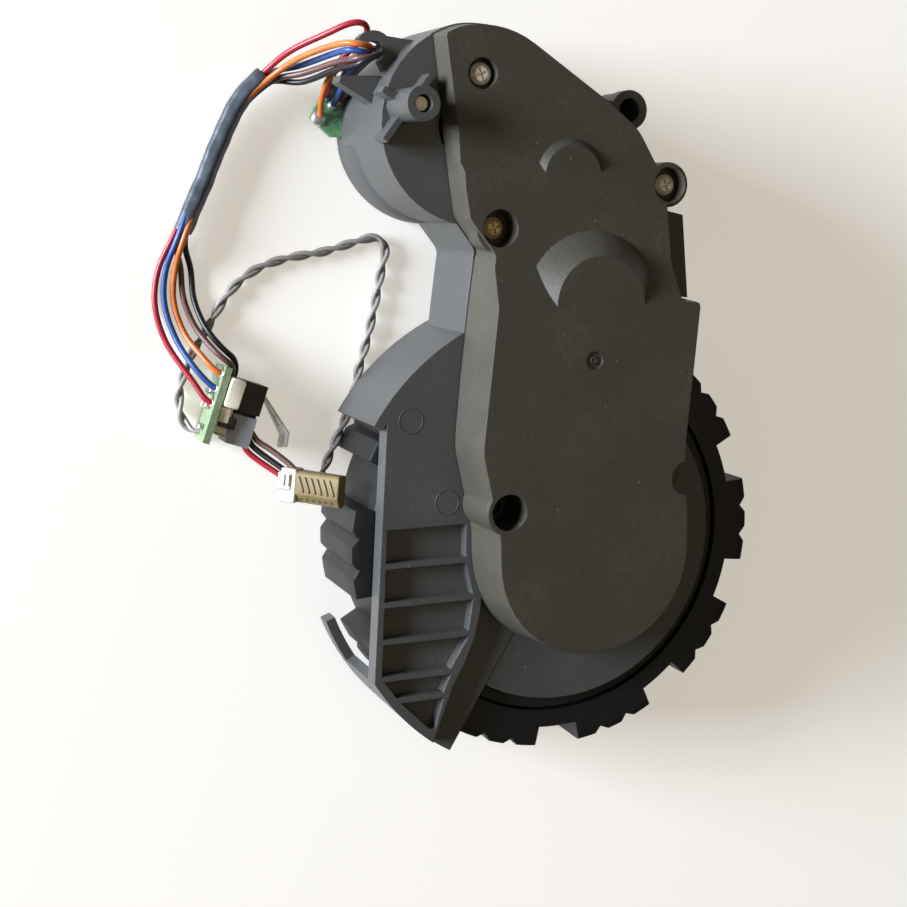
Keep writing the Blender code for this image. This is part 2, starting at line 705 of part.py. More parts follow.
def flange_outline():
    """The flange beside the gearbox: a straight rim at the left and arcs over the wheel's edge."""
    outer = ARCH_OUTER
    rim_top = (-0.7906 * outer, 0.5835 * outer)
    rim_low = (-0.8541 * outer, -0.5200 * outer)
    tip = math.atan2(-0.0358, -0.0212)
    start = math.atan2(rim_low[1], rim_low[0])
    outline = [rim_top, rim_low]
    outline += arc(WHEEL_AXIS, outer, start, tip, 8)[1:]
    outline += [(-0.0092, -0.0159), (0.0000, 0.0000), (-0.0150, 0.0365)]
    outline += arc(WHEEL_AXIS, outer - 0.0002, math.radians(116.5), math.radians(143.2), 8)[:-1]
    return outline


def flange_pockets():
    """Seven hollows between the ribs: they narrow to follow the rim and the slanted frame."""
    left_top, left_low = Vector((-0.8235, 0.1224)) * ARCH_OUTER, Vector((-0.8518, -0.5200)) * ARCH_OUTER
    right = (-0.459, -0.459, -0.428, -0.447, -0.527, -0.558, -0.593)
    right = [share * ARCH_OUTER for share in right]
    edges = [share * ARCH_OUTER for share in RIB_LINES + (-0.748,)]
    pockets = []
    for index in range(len(edges) - 1):
        top, bottom = edges[index] - RIB_WIDTH / 2, edges[index + 1] + RIB_WIDTH / 2
        share_top = (left_top.y - top) / (left_top.y - left_low.y)
        share_low = (left_top.y - bottom) / (left_top.y - left_low.y)
        x_top = left_top.lerp(left_low, share_top).x + 0.0012
        x_low = left_top.lerp(left_low, share_low).x + 0.0012
        rim = ARCH_OUTER - 0.0016
        x_top = max(x_top, -math.sqrt(rim ** 2 - top ** 2))
        x_low = max(x_low, -math.sqrt(rim ** 2 - bottom ** 2))
        outline = [(x_top, top), (x_low, bottom), (right[index + 1], bottom), (right[index], top)]
        pockets.append(prism("pocket_%d" % index, [outline], POCKET_FLOOR, FLANGE_TOP + 0.002))
    return pockets


def base_housing():
    """The lower moulding: gearbox pan, wheel plate, flange, wheel arch, motor cup and lugs."""
    item = outline_prism("base_housing", FOOT_OUTLINE, PLATE_BOTTOM, MOTOR_PLATE_TOP)
    join(item, motor_bay())
    join(item, prism("base_ledge", [LEDGE_OUTLINE], PLATE_BOTTOM, MOTOR_PLATE_TOP))
    cut(item, parting_cutter("base_parting", 0.0, COVER_TOP + 0.01))
    join(item, drum("cup", MOTOR_AXIS, CUP_RADIUS, 0, MOTOR_PLATE_TOP, 48))
    join(item, drum("wheel_plate", WHEEL_AXIS, DISC_RADIUS, PLATE_BOTTOM, FLOOR_TOP, 64))
    join(item, prism("flange", [flange_outline()], PLATE_BOTTOM, FLANGE_TOP))
    join(item, ring_sector("arch", ARCH_INNER, ARCH_OUTER, 104, 148, ARCH_BOTTOM, FLANGE_TOP))
    join(item, ring_sector("fender", ARCH_INNER, ARCH_OUTER, 212, 238.5, ARCH_BOTTOM, FLANGE_TOP))
    join(item, ring_sector("blade", ARCH_INNER, ARCH_OUTER, 200.5, 213, ARCH_BOTTOM, BLADE_TOP, 8))
    for tool in mounting_lugs():
        join(item, tool)
    cut(item, drum("spring_post_bore", SPRING_POST, SPRING_PIN_RADIUS + GAP, SPRING_PIN_BOTTOM - GAP,
                   SPRING_POST_TOP + 0.001, 16))
    for pocket in flange_pockets():
        cut(item, pocket)
    cut(item, gearbox_cavity())
    pinion = pitch_radius(GEAR_1_AXIS, MOTOR_AXIS, GEAR_1_TEETH, MOTOR_TEETH)
    cut(item, drum("pinion_room", MOTOR_AXIS, pinion + 0.0009, FLOOR_TOP, COVER_TOP, 40))
    for x, y, radius, seat in COVER_SCREWS:
        join(item, drum("post_%.0f" % (y * 1e4), (x, y), SHANK_RADIUS + GAP + SCREW_POST_WALL,
                        PLATE_BOTTOM, seat_parting(y) - GAP, 20))
    cut(item, drum("cup_bore", MOTOR_AXIS, CUP_RADIUS - CUP_WALL, -0.001, PLATE_BOTTOM, 48))
    cut(item, drum("shaft_hole", MOTOR_AXIS, 0.0030, PLATE_BOTTOM - 0.001, FLOOR_TOP + 0.001, 20))
    cut(item, drum("wheel_shaft_hole", WHEEL_AXIS, SHAFT_RADIUS + 0.0006, PLATE_BOTTOM - 0.006,
                   FLOOR_TOP + 0.001, 24))
    window = (MOTOR_AXIS.x - CUP_RADIUS + 0.0004, MOTOR_AXIS.y + 0.0033, 0.0010)
    cut(item, block("board_window", window, (0.0120, 0.0150, 0.0080)))
    for number, axis in ((1, GEAR_1_AXIS), (2, GEAR_2_AXIS), (3, GEAR_3_AXIS)):
        cut(item, drum("pin_hole_%d" % number, axis, PIN_RADIUS + GAP, pin_foot(), FLOOR_TOP + 0.001, 16))
    for x, y, radius, seat in COVER_SCREWS:
        cut(item, drum("pilot_%.0f" % (y * 1e4), (x, y), SHANK_RADIUS + GAP, SHANK_END - GAP, COVER_TOP, 12))
    return finish(item, "base_housing", charcoal_abs())


def seat_parting(y):
    """Height at which the cover meets the base: higher at the motor's end."""
    return (MOTOR_PLATE_TOP if y > PARTING_STEP[0] else FLANGE_TOP) + GAP


def motor_bay():
    """The wall that hangs under the gearbox at the motor's end, open below, with the wheel's arch."""
    item = outline_prism("bay", FOOT_OUTLINE, BAY_BOTTOM, MOTOR_PLATE_TOP)
    cut(item, drum("bay_wheel_room", WHEEL_AXIS, ARCH_INNER, -0.01, 0.05, 64))
    hollow = outline_prism("bay_hollow", inset(FOOT_OUTLINE, SKIRT_WALL), BAY_BOTTOM - 0.002, PLATE_BOTTOM)
    cut(hollow, drum("bay_arch", WHEEL_AXIS, ARCH_OUTER, -0.01, 0.05, 64))
    cut(item, hollow)
    return item


def gearbox_cavity():
    return outline_prism("cavity", inset(FOOT_OUTLINE, SKIRT_WALL), FLOOR_TOP, COVER_TOP)


def mounting_lugs():
    """The tall post with its gussets, the ring lug and the wire bracket."""
    post = SPRING_POST
    top = SPRING_POST_TOP
    foot = MOTOR_PLATE_TOP - 0.0010
    tools = [drum("spring_post", post, SPRING_POST_RADIUS, foot, top, 24)]
    for number, (angle, reach) in enumerate(((52, 0.0060), (152, 0.0052), (232, 0.0070))):
        turn = math.radians(angle)
        middle = post + Vector((math.cos(turn), math.sin(turn), 0)) * reach / 2
        gusset = block("gusset_%d" % number, (middle.x, middle.y, foot + 0.0022), (reach, 0.0011, 0.0044), turn)
        tools.append(gusset)
    ring = Vector((0.0112, 0.0748, 0))
    tools.append(drum("ring_lug", ring, 0.0034, PLATE_BOTTOM, FLOOR_TOP + 0.0013, 24))
    cut(tools[-1], drum("ring_lug_hole", ring, 0.0020, PLATE_BOTTOM - 0.001, FLANGE_TOP, 20))
    tools.append(block("ring_web", (0.0070, 0.0758, FLOOR_TOP), (0.0050, 0.0012, 0.0022), math.radians(-12)))
    tools.append(wire_bracket())
    return tools


def wire_bracket():
    """An open hook beside the motor's cup, and a small shelf under it that keeps the wires off the cup."""
    centre = MOTOR_AXIS + HOOK_PLACE
    first, last = math.radians(HOOK_ARC[0]), math.radians(HOOK_ARC[1])
    outline = arc(centre, HOOK_BORE + HOOK_WIDTH, first, last, 12)
    outline += list(reversed(arc(centre, HOOK_BORE, first, last, 12)))
    hook = prism("wire_hook", [outline], BRACKET_TOP - HOOK_THICKNESS, BRACKET_TOP)
    arm = [(centre.x + 0.0018, centre.y + 0.0026), (centre.x + 0.0016, centre.y - 0.0022), (-0.0262, 0.0745),
           (-0.0240, 0.0850)]
    join(hook, prism("hook_arm", [arm], BRACKET_TOP - HOOK_THICKNESS, BRACKET_TOP))
    cut(hook, drum("hook_bore", centre, HOOK_BORE, 0, BRACKET_TOP + 0.001, 24))
    shelf = [(-0.0399, 0.0795), (-0.0402, 0.0784), (-0.0346, 0.0752), (-0.0330, 0.0735), (-0.0260, 0.0735),
             (-0.0260, 0.0812), (-0.0318, 0.0796)]
    join(hook, prism("wire_shelf", [shelf], BRACKET_TOP - SHELF_THICKNESS, BRACKET_TOP))
    return hook


# Cover

def relief_cutter(name, drop):
    """Removes what stands over the cover's three levels, but leaves the two round plateaus."""
    profile = [(LARGE_RAMP[0], COVER_TOP - drop), (LARGE_RAMP[1], COVER_MIDDLE - drop),
               (SMALL_RAMP[0], COVER_MIDDLE - drop), (SMALL_RAMP[1], COVER_LOW - drop),
               (0.100, COVER_LOW - drop), (0.100, COVER_TOP + 0.01), (LARGE_RAMP[0], COVER_TOP + 0.01)]
    item = prism(name, [profile], -0.040, 0.040)
    turn = Matrix(((0, 0, 1), (1, 0, 0), (0, 1, 0))).to_4x4()
    item.data.transform(turn)
    shrink = drop * 0.6
    steep = LARGE_PLATEAU_FLANK / (COVER_TOP - COVER_MIDDLE)
    low = COVER_MIDDLE - drop - 0.001
    high = COVER_TOP - drop + 0.001
    wide = LARGE_PLATEAU_RADIUS - shrink
    cut(item, drum(name + "_large", GEAR_2_AXIS, wide + (COVER_TOP - drop - low) * steep, low, high, 64,
                   wide - (high - COVER_TOP + drop) * steep))
    steep = SMALL_PLATEAU_FLANK / (COVER_MIDDLE - COVER_LOW)
    wide = SMALL_PLATEAU_RADIUS - shrink
    low = COVER_LOW - drop - 0.001
    high = COVER_MIDDLE - drop - 0.00003
    cut(item, drum(name + "_small", GEAR_1_AXIS, wide + (COVER_MIDDLE - drop - low) * steep, low, high, 48, wide))
    return item


def parting_cutter(name, shift, far):
    """All that lies beyond the surface where the mouldings meet, which steps up at the motor's end."""
    low, high = seat_parting(0) - GAP + shift, seat_parting(1) - GAP + shift
    profile = [(-0.05, far), (-0.05, low), (PARTING_STEP[0], low), (PARTING_STEP[1], high), (0.1, high),
               (0.1, far)]
    item = prism(name, [profile], -0.040, 0.040)
    item.data.transform(Matrix(((0, 0, 1), (1, 0, 0), (0, 1, 0))).to_4x4())
    return item


def gearbox_cover():
    """The upper casting: a drafted skirt, three levels joined by ramps, and a plateau over two gears."""
    bottom = FLANGE_TOP - 0.001
    low, high = rounded(FOOT_OUTLINE), rounded(TOP_OUTLINE)
    item = tapered_prism("gearbox_cover", low, high, bottom, COVER_TOP)
    boss = COVER_SCREWS[2]
    join(item, drum("corner_boss", boss[:2], boss[2] + 0.0004, bottom, COVER_MIDDLE + 0.001, 32))
    bump = COVER_SCREWS[3]
    join(item, drum("left_boss", bump[:2], bump[2] + 0.0012, bottom, COVER_TOP, 32, bump[2] + 0.0008))
    cut(item, relief_cutter("relief", 0.0))
    cavity = tapered_prism("cover_cavity", rounded(inset(FOOT_OUTLINE, SKIRT_WALL)),
                           rounded(inset(TOP_OUTLINE, SKIRT_WALL)), bottom - 0.001, COVER_TOP - COVER_WALL)
    cut(cavity, relief_cutter("cavity_relief", COVER_WALL))
    cut(item, cavity)
    for number, (x, y, radius, seat) in enumerate(COVER_SCREWS):
        wall = radius + SCREW_TUBE_WALL
        level = screw_level(y)
        join(item, drum("screw_tube_%d" % number, (x, y), wall, bottom, level - 0.0007, 24))
    for number, axis, ceiling, low_end in (
            (1, GEAR_1_AXIS, COVER_MIDDLE, MESH_SECOND[1] + GAP), (2, GEAR_2_AXIS, COVER_TOP, MESH_THIRD[1] + GAP),
            (3, GEAR_3_AXIS, COVER_TOP, MESH_THIRD[1] + GAP)):
        join(item, drum("pin_boss_%d" % number, axis, 0.0030, low_end, ceiling - 0.0010, 20))
    join(item, drum("bearing_boss", WHEEL_AXIS, 0.0056, BUSH_BOTTOM - 0.0002, COVER_TOP - 0.0010, 24))
    join(item, prism("cover_ledge", [LEDGE_OUTLINE], bottom, LEDGE_TOP))
    gear_room = pitch_radius(GEAR_3_AXIS, WHEEL_AXIS, GEAR_3_PINION, WHEEL_TEETH) + 0.0014
    cut(item, drum("cover_gear_room", WHEEL_AXIS, gear_room, PLATE_BOTTOM, MESH_WHEEL[1] + RUNNING_GAP, 48))
    notch = COVER_SCREWS[4]
    cut(item, block("cover_notch", (notch[0] + 0.0050, notch[1], COVER_TOP), (0.0100, 0.0100, 2 * (COVER_TOP - notch[3]))))
    cut(item, parting_cutter("cover_parting", GAP, FLANGE_TOP - 0.01))
    for number, (x, y, radius, seat) in enumerate(COVER_SCREWS):
        cut(item, drum("counterbore_%d" % number, (x, y), radius, seat, COVER_TOP + 0.002, 32))
        cut(item, drum("clearance_%d" % number, (x, y), SHANK_RADIUS + GAP, PLATE_BOTTOM, COVER_TOP, 12))
    for number, axis, ceiling in ((1, GEAR_1_AXIS, COVER_MIDDLE), (2, GEAR_2_AXIS, COVER_TOP),
                                  (3, GEAR_3_AXIS, COVER_TOP)):
        cut(item, drum("pin_socket_%d" % number, axis, PIN_RADIUS + GAP, PLATE_BOTTOM, ceiling - COVER_WALL, 16))
    cut(item, drum("bearing_seat", WHEEL_AXIS, 0.0042 + GAP, PLATE_BOTTOM, COVER_TOP - COVER_WALL, 24))
    cut(item, drum("gate_dimple", (-0.0007, 0.0331), 0.0015, COVER_TOP - 0.0004, COVER_TOP + 0.001, 20))
    cut(item, drum("cover_post_room", SPRING_POST, SPRING_POST_RADIUS + GAP, FLANGE_TOP, COVER_TOP + 0.002, 24))
    return finish(item, "gearbox_cover", charcoal_abs())


def screw_level(y):
    """The cover's level at a screw's place."""
    if y > SMALL_RAMP[1]:
        return COVER_LOW
    return COVER_MIDDLE if y > LARGE_RAMP[1] else COVER_TOP


def cover_screws():
    for number, (x, y, radius, seat) in enumerate(COVER_SCREWS):
        name = "cover_screw_%d" % (number + 1)
        bottom = seat + GAP
        screw = turned(name, (x, y), (
            (0, bottom + HEAD_HEIGHT), (HEAD_RADIUS * 0.6, bottom + HEAD_HEIGHT),
            (HEAD_RADIUS, bottom + HEAD_HEIGHT * 0.6), (HEAD_RADIUS, bottom), (SHANK_RADIUS, bottom),
            (SHANK_RADIUS, SHANK_END), (0, SHANK_END)), 20, False)
        for turn in (math.radians(20), math.radians(110)):
            slot = block(name + "_slot_%d" % math.degrees(turn),
                         (x, y, bottom + HEAD_HEIGHT), (HEAD_RADIUS * 1.1, 0.0004, 0.0012), turn)
            cut(screw, slot)
        finish(screw, name, steel())


def spring_pin():
    item = drum("post_pin", SPRING_POST, SPRING_PIN_RADIUS, SPRING_PIN_BOTTOM, SPRING_POST_TOP - 0.0013, 16)
    return finish(item, "post_pin", steel())


# Switch and plug on the harness

def switch_frame():
    """The switch's own axes: along its body, and across it towards the lever."""
    along = Vector((math.sin(SWITCH_TURN), -math.cos(SWITCH_TURN), 0))
    across = Vector((math.cos(SWITCH_TURN), math.sin(SWITCH_TURN), 0))
    return along, across


def switch_block(name, along_shift, across_shift, size, height, look):
    along, across = switch_frame()
    place = SWITCH_CENTRE + along * along_shift + across * across_shift
    item = block(name, (place.x, place.y, height), (size[1], size[0], size[2]), SWITCH_TURN)
    return finish(item, name, look)


def micro_switch():
    middle = SWITCH_BASE + SWITCH_HEIGHT / 2
    half = SWITCH_LENGTH / 2
    case = switch_block("switch_case", -half / 2 - GAP / 2, 0, (half - GAP, SWITCH_WIDTH, SWITCH_HEIGHT), middle,
                        black_phenolic())
    slot = PLUNGER_WIDTH + 2 * GAP
    depth = PLUNGER_ROOT + PLUNGER_TRAVEL + GAP
    cut(case, switch_block("plunger_hole", -PLUNGER_PLACE, SWITCH_WIDTH / 2 - depth / 2 + 0.001,
                           (slot, depth + 0.002, slot), LEVER_BOTTOM + LEVER_WIDTH / 2, black_phenolic()))
    low = switch_block("switch_body", half / 2 + GAP / 2, 0, (half - GAP, SWITCH_WIDTH, SWITCH_HEIGHT - 0.0006),
                       middle - 0.0003, material("grey_metal", (0.30, 0.31, 0.33), 0.4, 0.6))
    board_half = BOARD_THICKNESS / 2
    across = -SWITCH_BOARD_OFFSET
    board = switch_block("switch_board", -0.0002, across, (0.0135, BOARD_THICKNESS, 0.0072), 0.0040,
                         board_green())
    gap_width = SWITCH_BOARD_OFFSET - SWITCH_WIDTH / 2 - board_half - 2 * GAP
    middle_across = -(SWITCH_WIDTH / 2 + GAP + gap_width / 2)
    base = switch_block("switch_base", -0.0006, middle_across, (0.0098, gap_width, 0.0052),
                        SWITCH_BASE + 0.0026, cream_nylon())
    for number, shift in enumerate((-0.0022, 0.0004, 0.0042)):
        pin = switch_block("switch_pin_%d" % (number + 1), shift, across - board_half - GAP - 0.0006,
                           (0.0008, 0.0012, 0.0008), 0.0048, steel())
    return low, board, base, pin


def switch_lever():
    """A strip with a slot in it, hinged beside the case's upper end and bent in at its tip."""
    along, across = switch_frame()
    hinge = SWITCH_CENTRE - along * 0.0040 + across * (SWITCH_WIDTH / 2 + GAP + LEVER_THICKNESS / 2)
    reach = Matrix.Rotation(LEVER_OPENING, 3, "Z") @ along
    tip = Matrix.Rotation(LEVER_OPENING - LEVER_BEND, 3, "Z") @ along
    knee = hinge + reach * LEVER_LENGTH
    end = knee + tip * LEVER_TIP
    normals = [Vector((-v.y, v.x, 0)) for v in (reach, tip)]
    middle = (normals[0] + normals[1]) / (1 + normals[0].dot(normals[1]))
    half = LEVER_THICKNESS / 2
    sides = [(hinge, normals[0]), (knee, middle), (end, normals[1])]
    outline = [(place + normal * half)[:2] for place, normal in sides]
    outline += [(place - normal * half)[:2] for place, normal in reversed(sides)]
    item = prism("switch_lever", [outline], LEVER_BOTTOM, LEVER_BOTTOM + LEVER_WIDTH)
    slot = hinge + reach * (LEVER_LENGTH * 0.55)
    height = LEVER_BOTTOM + LEVER_WIDTH / 2
    cut(item, block("lever_slot", (slot.x, slot.y, height), (LEVER_LENGTH * 0.5, 0.002, LEVER_WIDTH * 0.3),
                    math.atan2(reach.y, reach.x)))
    finish(item, "switch_lever", steel(), (hinge.x, hinge.y, 0))
    place = SWITCH_CENTRE - along * PLUNGER_PLACE + across * (SWITCH_WIDTH / 2 + PLUNGER_REACH / 2 - PLUNGER_ROOT / 2)
    size = (PLUNGER_REACH + PLUNGER_ROOT, PLUNGER_WIDTH, PLUNGER_WIDTH)
    plunger = block("switch_plunger", (place.x, place.y, height), size, SWITCH_TURN)
    finish(plunger, "switch_plunger", black_phenolic(), (place.x, place.y, height))


def plug_place():
    """The plug's own axes: along it from its wire end, across it, and out of its upper face."""
    along = (PLUG_FRONT - PLUG_BACK).normalized()
    across = Vector((0, 0, 1)).cross(along).normalized()
    upper = along.cross(across)
    turn = Matrix((along, across, upper)).transposed().to_4x4()
    return Matrix.Translation(PLUG_BACK) @ turn


def plug():
    """A wire plug that leans on the tread: a body with a row of contact openings and a wire end."""
    length = (PLUG_FRONT - PLUG_BACK).length
    item = block("plug", (0, 0, 0), (length, PLUG_WIDTH, PLUG_THICKNESS))
    item.data.transform(plug_place() @ Matrix.Translation((length / 2, 0, 0)))
    for number in range(6):
        opening = block("contact_%d" % number, (0, 0, 0), (0.0009, 0.0024, 0.0010))
        shift = Matrix.Translation((length - 0.0012 - PLUG_PITCH * number, -PLUG_WIDTH / 2, 0))
        opening.data.transform(plug_place() @ shift)
        cut(item, opening)
    return finish(item, "plug", cream_nylon())


# Harness routes: places chosen along each wire

SLEEVE_ROUTE = ((-0.0487, 0.0804, 0.0036), (-0.0522, 0.0768, 0.0028), (-0.0549, 0.0720, 0.0022),
                (-0.0571, 0.0671, 0.0020), (-0.0590, 0.0627, 0.0020), (-0.0609, 0.0586, 0.0020),
                (-0.0629, 0.0543, 0.0021))
UPPER_WIRES = (   # from the sleeve over the hook and down through it: heights are shares of the hook's own
    ("wire_red_upper", ((-0.0482, 0.0812, 0.25), (-0.0451, 0.0841, 0.47), (-0.0401, 0.0867, 0.75),
                        (-0.0366, 0.0882, 0.87), (-0.0349, 0.0876, 0.84), (-0.0353, 0.0861, 0.70),
                        (-0.0376, 0.0835, 0.54), (-0.0376, 0.0808, 0.42), (-0.0376, 0.0786, 0.30),
                        (-0.0380, 0.0771, 0.205)),
     (0.62, 0.03, 0.04)),
    ("wire_orange_upper", ((-0.0475, 0.0801, 0.29), (-0.0444, 0.0826, 0.52), (-0.0409, 0.0842, 0.83),
                           (-0.0377, 0.0847, 1.075), (-0.0357, 0.0844, 1.08), (-0.0347, 0.0840, 0.94),
                           (-0.0348, 0.0838, 0.76), (-0.0368, 0.0819, 0.62), (-0.0388, 0.0797, 0.47),
                           (-0.0390, 0.0765, 0.31), (-0.0388, 0.0738, 0.20)),
     (0.85, 0.28, 0.03)),
    ("wire_blue_upper", ((-0.0479, 0.0804, 0.16), (-0.0434, 0.0817, 0.40), (-0.0395, 0.0832, 0.79),
                         (-0.0368, 0.0836, 1.075), (-0.0351, 0.0832, 1.07), (-0.0347, 0.0828, 0.94),
                         (-0.0348, 0.0824, 0.76), (-0.0361, 0.0801, 0.58), (-0.0364, 0.0778, 0.40),
                         (-0.0366, 0.0757, 0.205)),
     (0.03, 0.10, 0.42)),
    ("wire_brown_upper", ((-0.0474, 0.0793, 0.22), (-0.0431, 0.0804, 0.44), (-0.0392, 0.0820, 0.80),
                          (-0.0362, 0.0822, 1.09), (-0.0341, 0.0824, 1.09), (-0.0335, 0.0828, 0.94),
                          (-0.0335, 0.0824, 0.76), (-0.0346, 0.0803, 0.50), (-0.0349, 0.0778, 0.36),
                          (-0.0352, 0.0765, 0.205)),
     (0.22, 0.10, 0.07)),
    ("wire_black_upper", ((-0.0476, 0.0792, 0.12), (-0.0428, 0.0791, 0.34), (-0.0391, 0.0808, 0.76),
                          (-0.0362, 0.0811, 1.03), (-0.0343, 0.0815, 1.16), (-0.0334, 0.0832, 1.12),
                          (-0.0335, 0.0840, 0.94), (-0.0335, 0.0838, 0.74), (-0.0352, 0.0812, 0.38),
                          (-0.0356, 0.0785, 0.24), (-0.0358, 0.0772, 0.205)),
     (0.01, 0.01, 0.012)))
LOWER_WIRES = (
    ("wire_red_lower", ((-0.0641, 0.0539, 0.0016), (-0.0668, 0.0480, 0.0006), (-0.0676, 0.0420, 0.0006),
                        (-0.0660, 0.0355, 0.0015), (-0.0622, 0.0290, 0.0046), (-0.0606, 0.0262, 0.0060)),
     (0.62, 0.03, 0.04)),
    ("wire_blue_lower", ((-0.0637, 0.0537, 0.0031), (-0.0657, 0.0478, 0.0012), (-0.0660, 0.0420, 0.0008),
                         (-0.0644, 0.0360, 0.0022), (-0.0618, 0.0312, 0.0050), (-0.0594, 0.0284, 0.0060)),
     (0.03, 0.10, 0.42)),
    ("wire_orange_lower", ((-0.0629, 0.0532, 0.0033), (-0.0642, 0.0478, 0.0015), (-0.0644, 0.0425, 0.0007),
                           (-0.0630, 0.0372, 0.0018), (-0.0607, 0.0334, 0.0050), (-0.0590, 0.0312, 0.0066)),
     (0.85, 0.28, 0.03)),
    ("wire_brown_lower", ((-0.0633, 0.0531, 0.0009), (-0.0630, 0.0478, 0.0006), (-0.0627, 0.0430, 0.0007),
                          (-0.0612, 0.0384, 0.0018), (-0.0592, 0.0352, 0.0040), (-0.0575, 0.0330, 0.0060)),
     (0.22, 0.10, 0.07)),
    ("wire_black_lower", ((-0.0624, 0.0532, 0.0019), (-0.0613, 0.0478, 0.0007), (-0.0610, 0.0432, 0.0007),
                          (-0.0600, 0.0394, 0.0020), (-0.0586, 0.0366, 0.0036), (-0.0570, 0.0345, 0.0046)),
     (0.01, 0.01, 0.012)))
PLUG_WIRES = (
    ("wire_red_plug", ((-0.0529, 0.0163, 0.0044), (-0.0512, 0.0148, 0.0055), (-0.0484, 0.0125, 0.0073)),
     (0.62, 0.03, 0.04)),
    ("wire_black_plug", ((-0.0520, 0.0172, 0.0047), (-0.0503, 0.0157, 0.0059), (-0.0478, 0.0138, 0.0078)),
     (0.01, 0.01, 0.012)),
    ("wire_brown_plug", ((-0.0511, 0.0181, 0.0050), (-0.0493, 0.0168, 0.0064), (-0.0471, 0.0150, 0.0082)),
     (0.22, 0.10, 0.07)))
GREY_PAIR = ((-0.0627, 0.0200, 0.0016), (-0.0641, 0.0230, 0.0011), (-0.0640, 0.0262, 0.0009),
             (-0.0634, 0.0290, 0.0008), (-0.0615, 0.0335, 0.0008), (-0.0588, 0.0377, 0.0008),
             (-0.0547, 0.0440, 0.0009), (-0.0498, 0.0478, 0.0009), (-0.0440, 0.0496, 0.0009),
             (-0.0380, 0.0505, 0.0009), (-0.0325, 0.0520, 0.0009), (-0.0280, 0.0530, 0.0009),
             (-0.0262, 0.0512, 0.0009), (-0.0270, 0.0475, 0.0009), (-0.0285, 0.0405, 0.0009),
             (-0.0300, 0.0345, 0.0009), (-0.0318, 0.0285, 0.0009), (-0.0330, 0.0235, 0.0009),
             (-0.0360, 0.0170, 0.0012), (-0.0383, 0.0127, 0.0024))


def harness():
    tube("harness_sleeve", smooth_route(SLEEVE_ROUTE, 8), SLEEVE, wire_insulation("sleeve_tape", (0.02, 0.02, 0.022)))
    for name, route, colour in UPPER_WIRES:
        look = wire_insulation(name.rsplit("_", 1)[0], colour)
        places = [(x, y, share * BRACKET_TOP) for x, y, share in route]
        tube(name, smooth_route(places, 15), WIRE, look)
    for name, route, colour in LOWER_WIRES:
        look = wire_insulation(name.rsplit("_", 1)[0], colour)
        tube(name, smooth_route(route, 6), WIRE, look)
    for name, route, colour in PLUG_WIRES:
        look = wire_insulation(name.rsplit("_", 1)[0], colour)
        tube(name, smooth_route(route, 3), WIRE, look)
    tube("grey_pair", smooth_route(GREY_PAIR, 22), 0.0015, wire_insulation("grey_pair", (0.42, 0.41, 0.39)))


def main():
    global PARTS, CUTTERS, BENCH
    clear_scene()
    BENCH = bpy.data.scenes.new("bench")
    PARTS = new_collection("robot_vacuum_wheel_module")
    CUTTERS = new_collection("cutters")
    tyre()
    wheel_hub()
    hub_cap()
    hub_screw()
    wheel_shaft()
    bearing("lower_bearing", PLATE_BOTTOM - 0.0048, PLATE_BOTTOM - 0.0008, 0.0055)
    bearing("upper_bush", BUSH_BOTTOM, COVER_TOP - COVER_WALL - 0.0004, 0.0042)
    gears()
    motor()
    encoder_board()
    base_housing()
    gearbox_cover()
    cover_screws()
    spring_pin()
    micro_switch()
    switch_lever()
    plug()
    harness()
    bpy.data.scenes.remove(BENCH)


main()
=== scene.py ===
# %% [markdown]
# # The drive wheel module of a robot vacuum
# The object lies on a pale table on the outer face of its wheel. A dark moulded gearbox covers the
# wheel, a motor hangs in a cup at its far end, and a thin wire harness lies beside it with a small
# lever switch and a plug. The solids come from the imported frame. This file gives them finishes, and
# adds what is worked out with numpy: the tyre's tread, the wires, the sleeve and the small details.

# %% Load the frame
import json
import math

import bmesh
import bpy
import numpy as np
from mathutils import Matrix, Vector

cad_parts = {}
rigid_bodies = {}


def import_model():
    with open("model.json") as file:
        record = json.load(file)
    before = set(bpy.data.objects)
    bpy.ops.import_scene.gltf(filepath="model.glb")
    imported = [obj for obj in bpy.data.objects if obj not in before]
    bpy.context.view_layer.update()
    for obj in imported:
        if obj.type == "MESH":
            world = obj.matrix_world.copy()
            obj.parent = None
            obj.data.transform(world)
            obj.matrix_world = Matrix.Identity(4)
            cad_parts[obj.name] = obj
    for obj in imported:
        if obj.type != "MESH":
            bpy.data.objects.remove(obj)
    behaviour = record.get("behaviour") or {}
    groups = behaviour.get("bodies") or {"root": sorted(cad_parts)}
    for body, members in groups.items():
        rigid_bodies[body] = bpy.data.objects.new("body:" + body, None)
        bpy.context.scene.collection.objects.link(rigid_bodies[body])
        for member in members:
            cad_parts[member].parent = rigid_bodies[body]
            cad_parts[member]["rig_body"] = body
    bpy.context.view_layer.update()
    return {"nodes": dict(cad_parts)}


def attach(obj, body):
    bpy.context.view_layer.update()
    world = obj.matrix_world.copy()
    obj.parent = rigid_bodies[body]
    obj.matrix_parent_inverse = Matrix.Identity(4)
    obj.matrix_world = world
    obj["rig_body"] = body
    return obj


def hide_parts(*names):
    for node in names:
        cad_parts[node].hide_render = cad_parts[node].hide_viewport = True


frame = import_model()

NODES = frame["nodes"]
MM = 0.001

# %% [markdown]
# ## The camera
# The photograph looks down on the table from a hand's height, tilted a little from the left and from
# below. The place and the three directions were measured from edges that are upright or level on the
# real object, so the camera is set from them and not turned by hand.

# %% Place the camera
CAMERA_PLACE = Vector((-0.11932, 0.06105, 0.2674))
CAMERA_RIGHT = Vector((0.92908, 0.0, 0.36988))
CAMERA_UP = Vector((0.06092, 0.98636, -0.15303))
IMAGE_SIDE = 907          # pixels
FOCAL_PIXELS = 1572.0

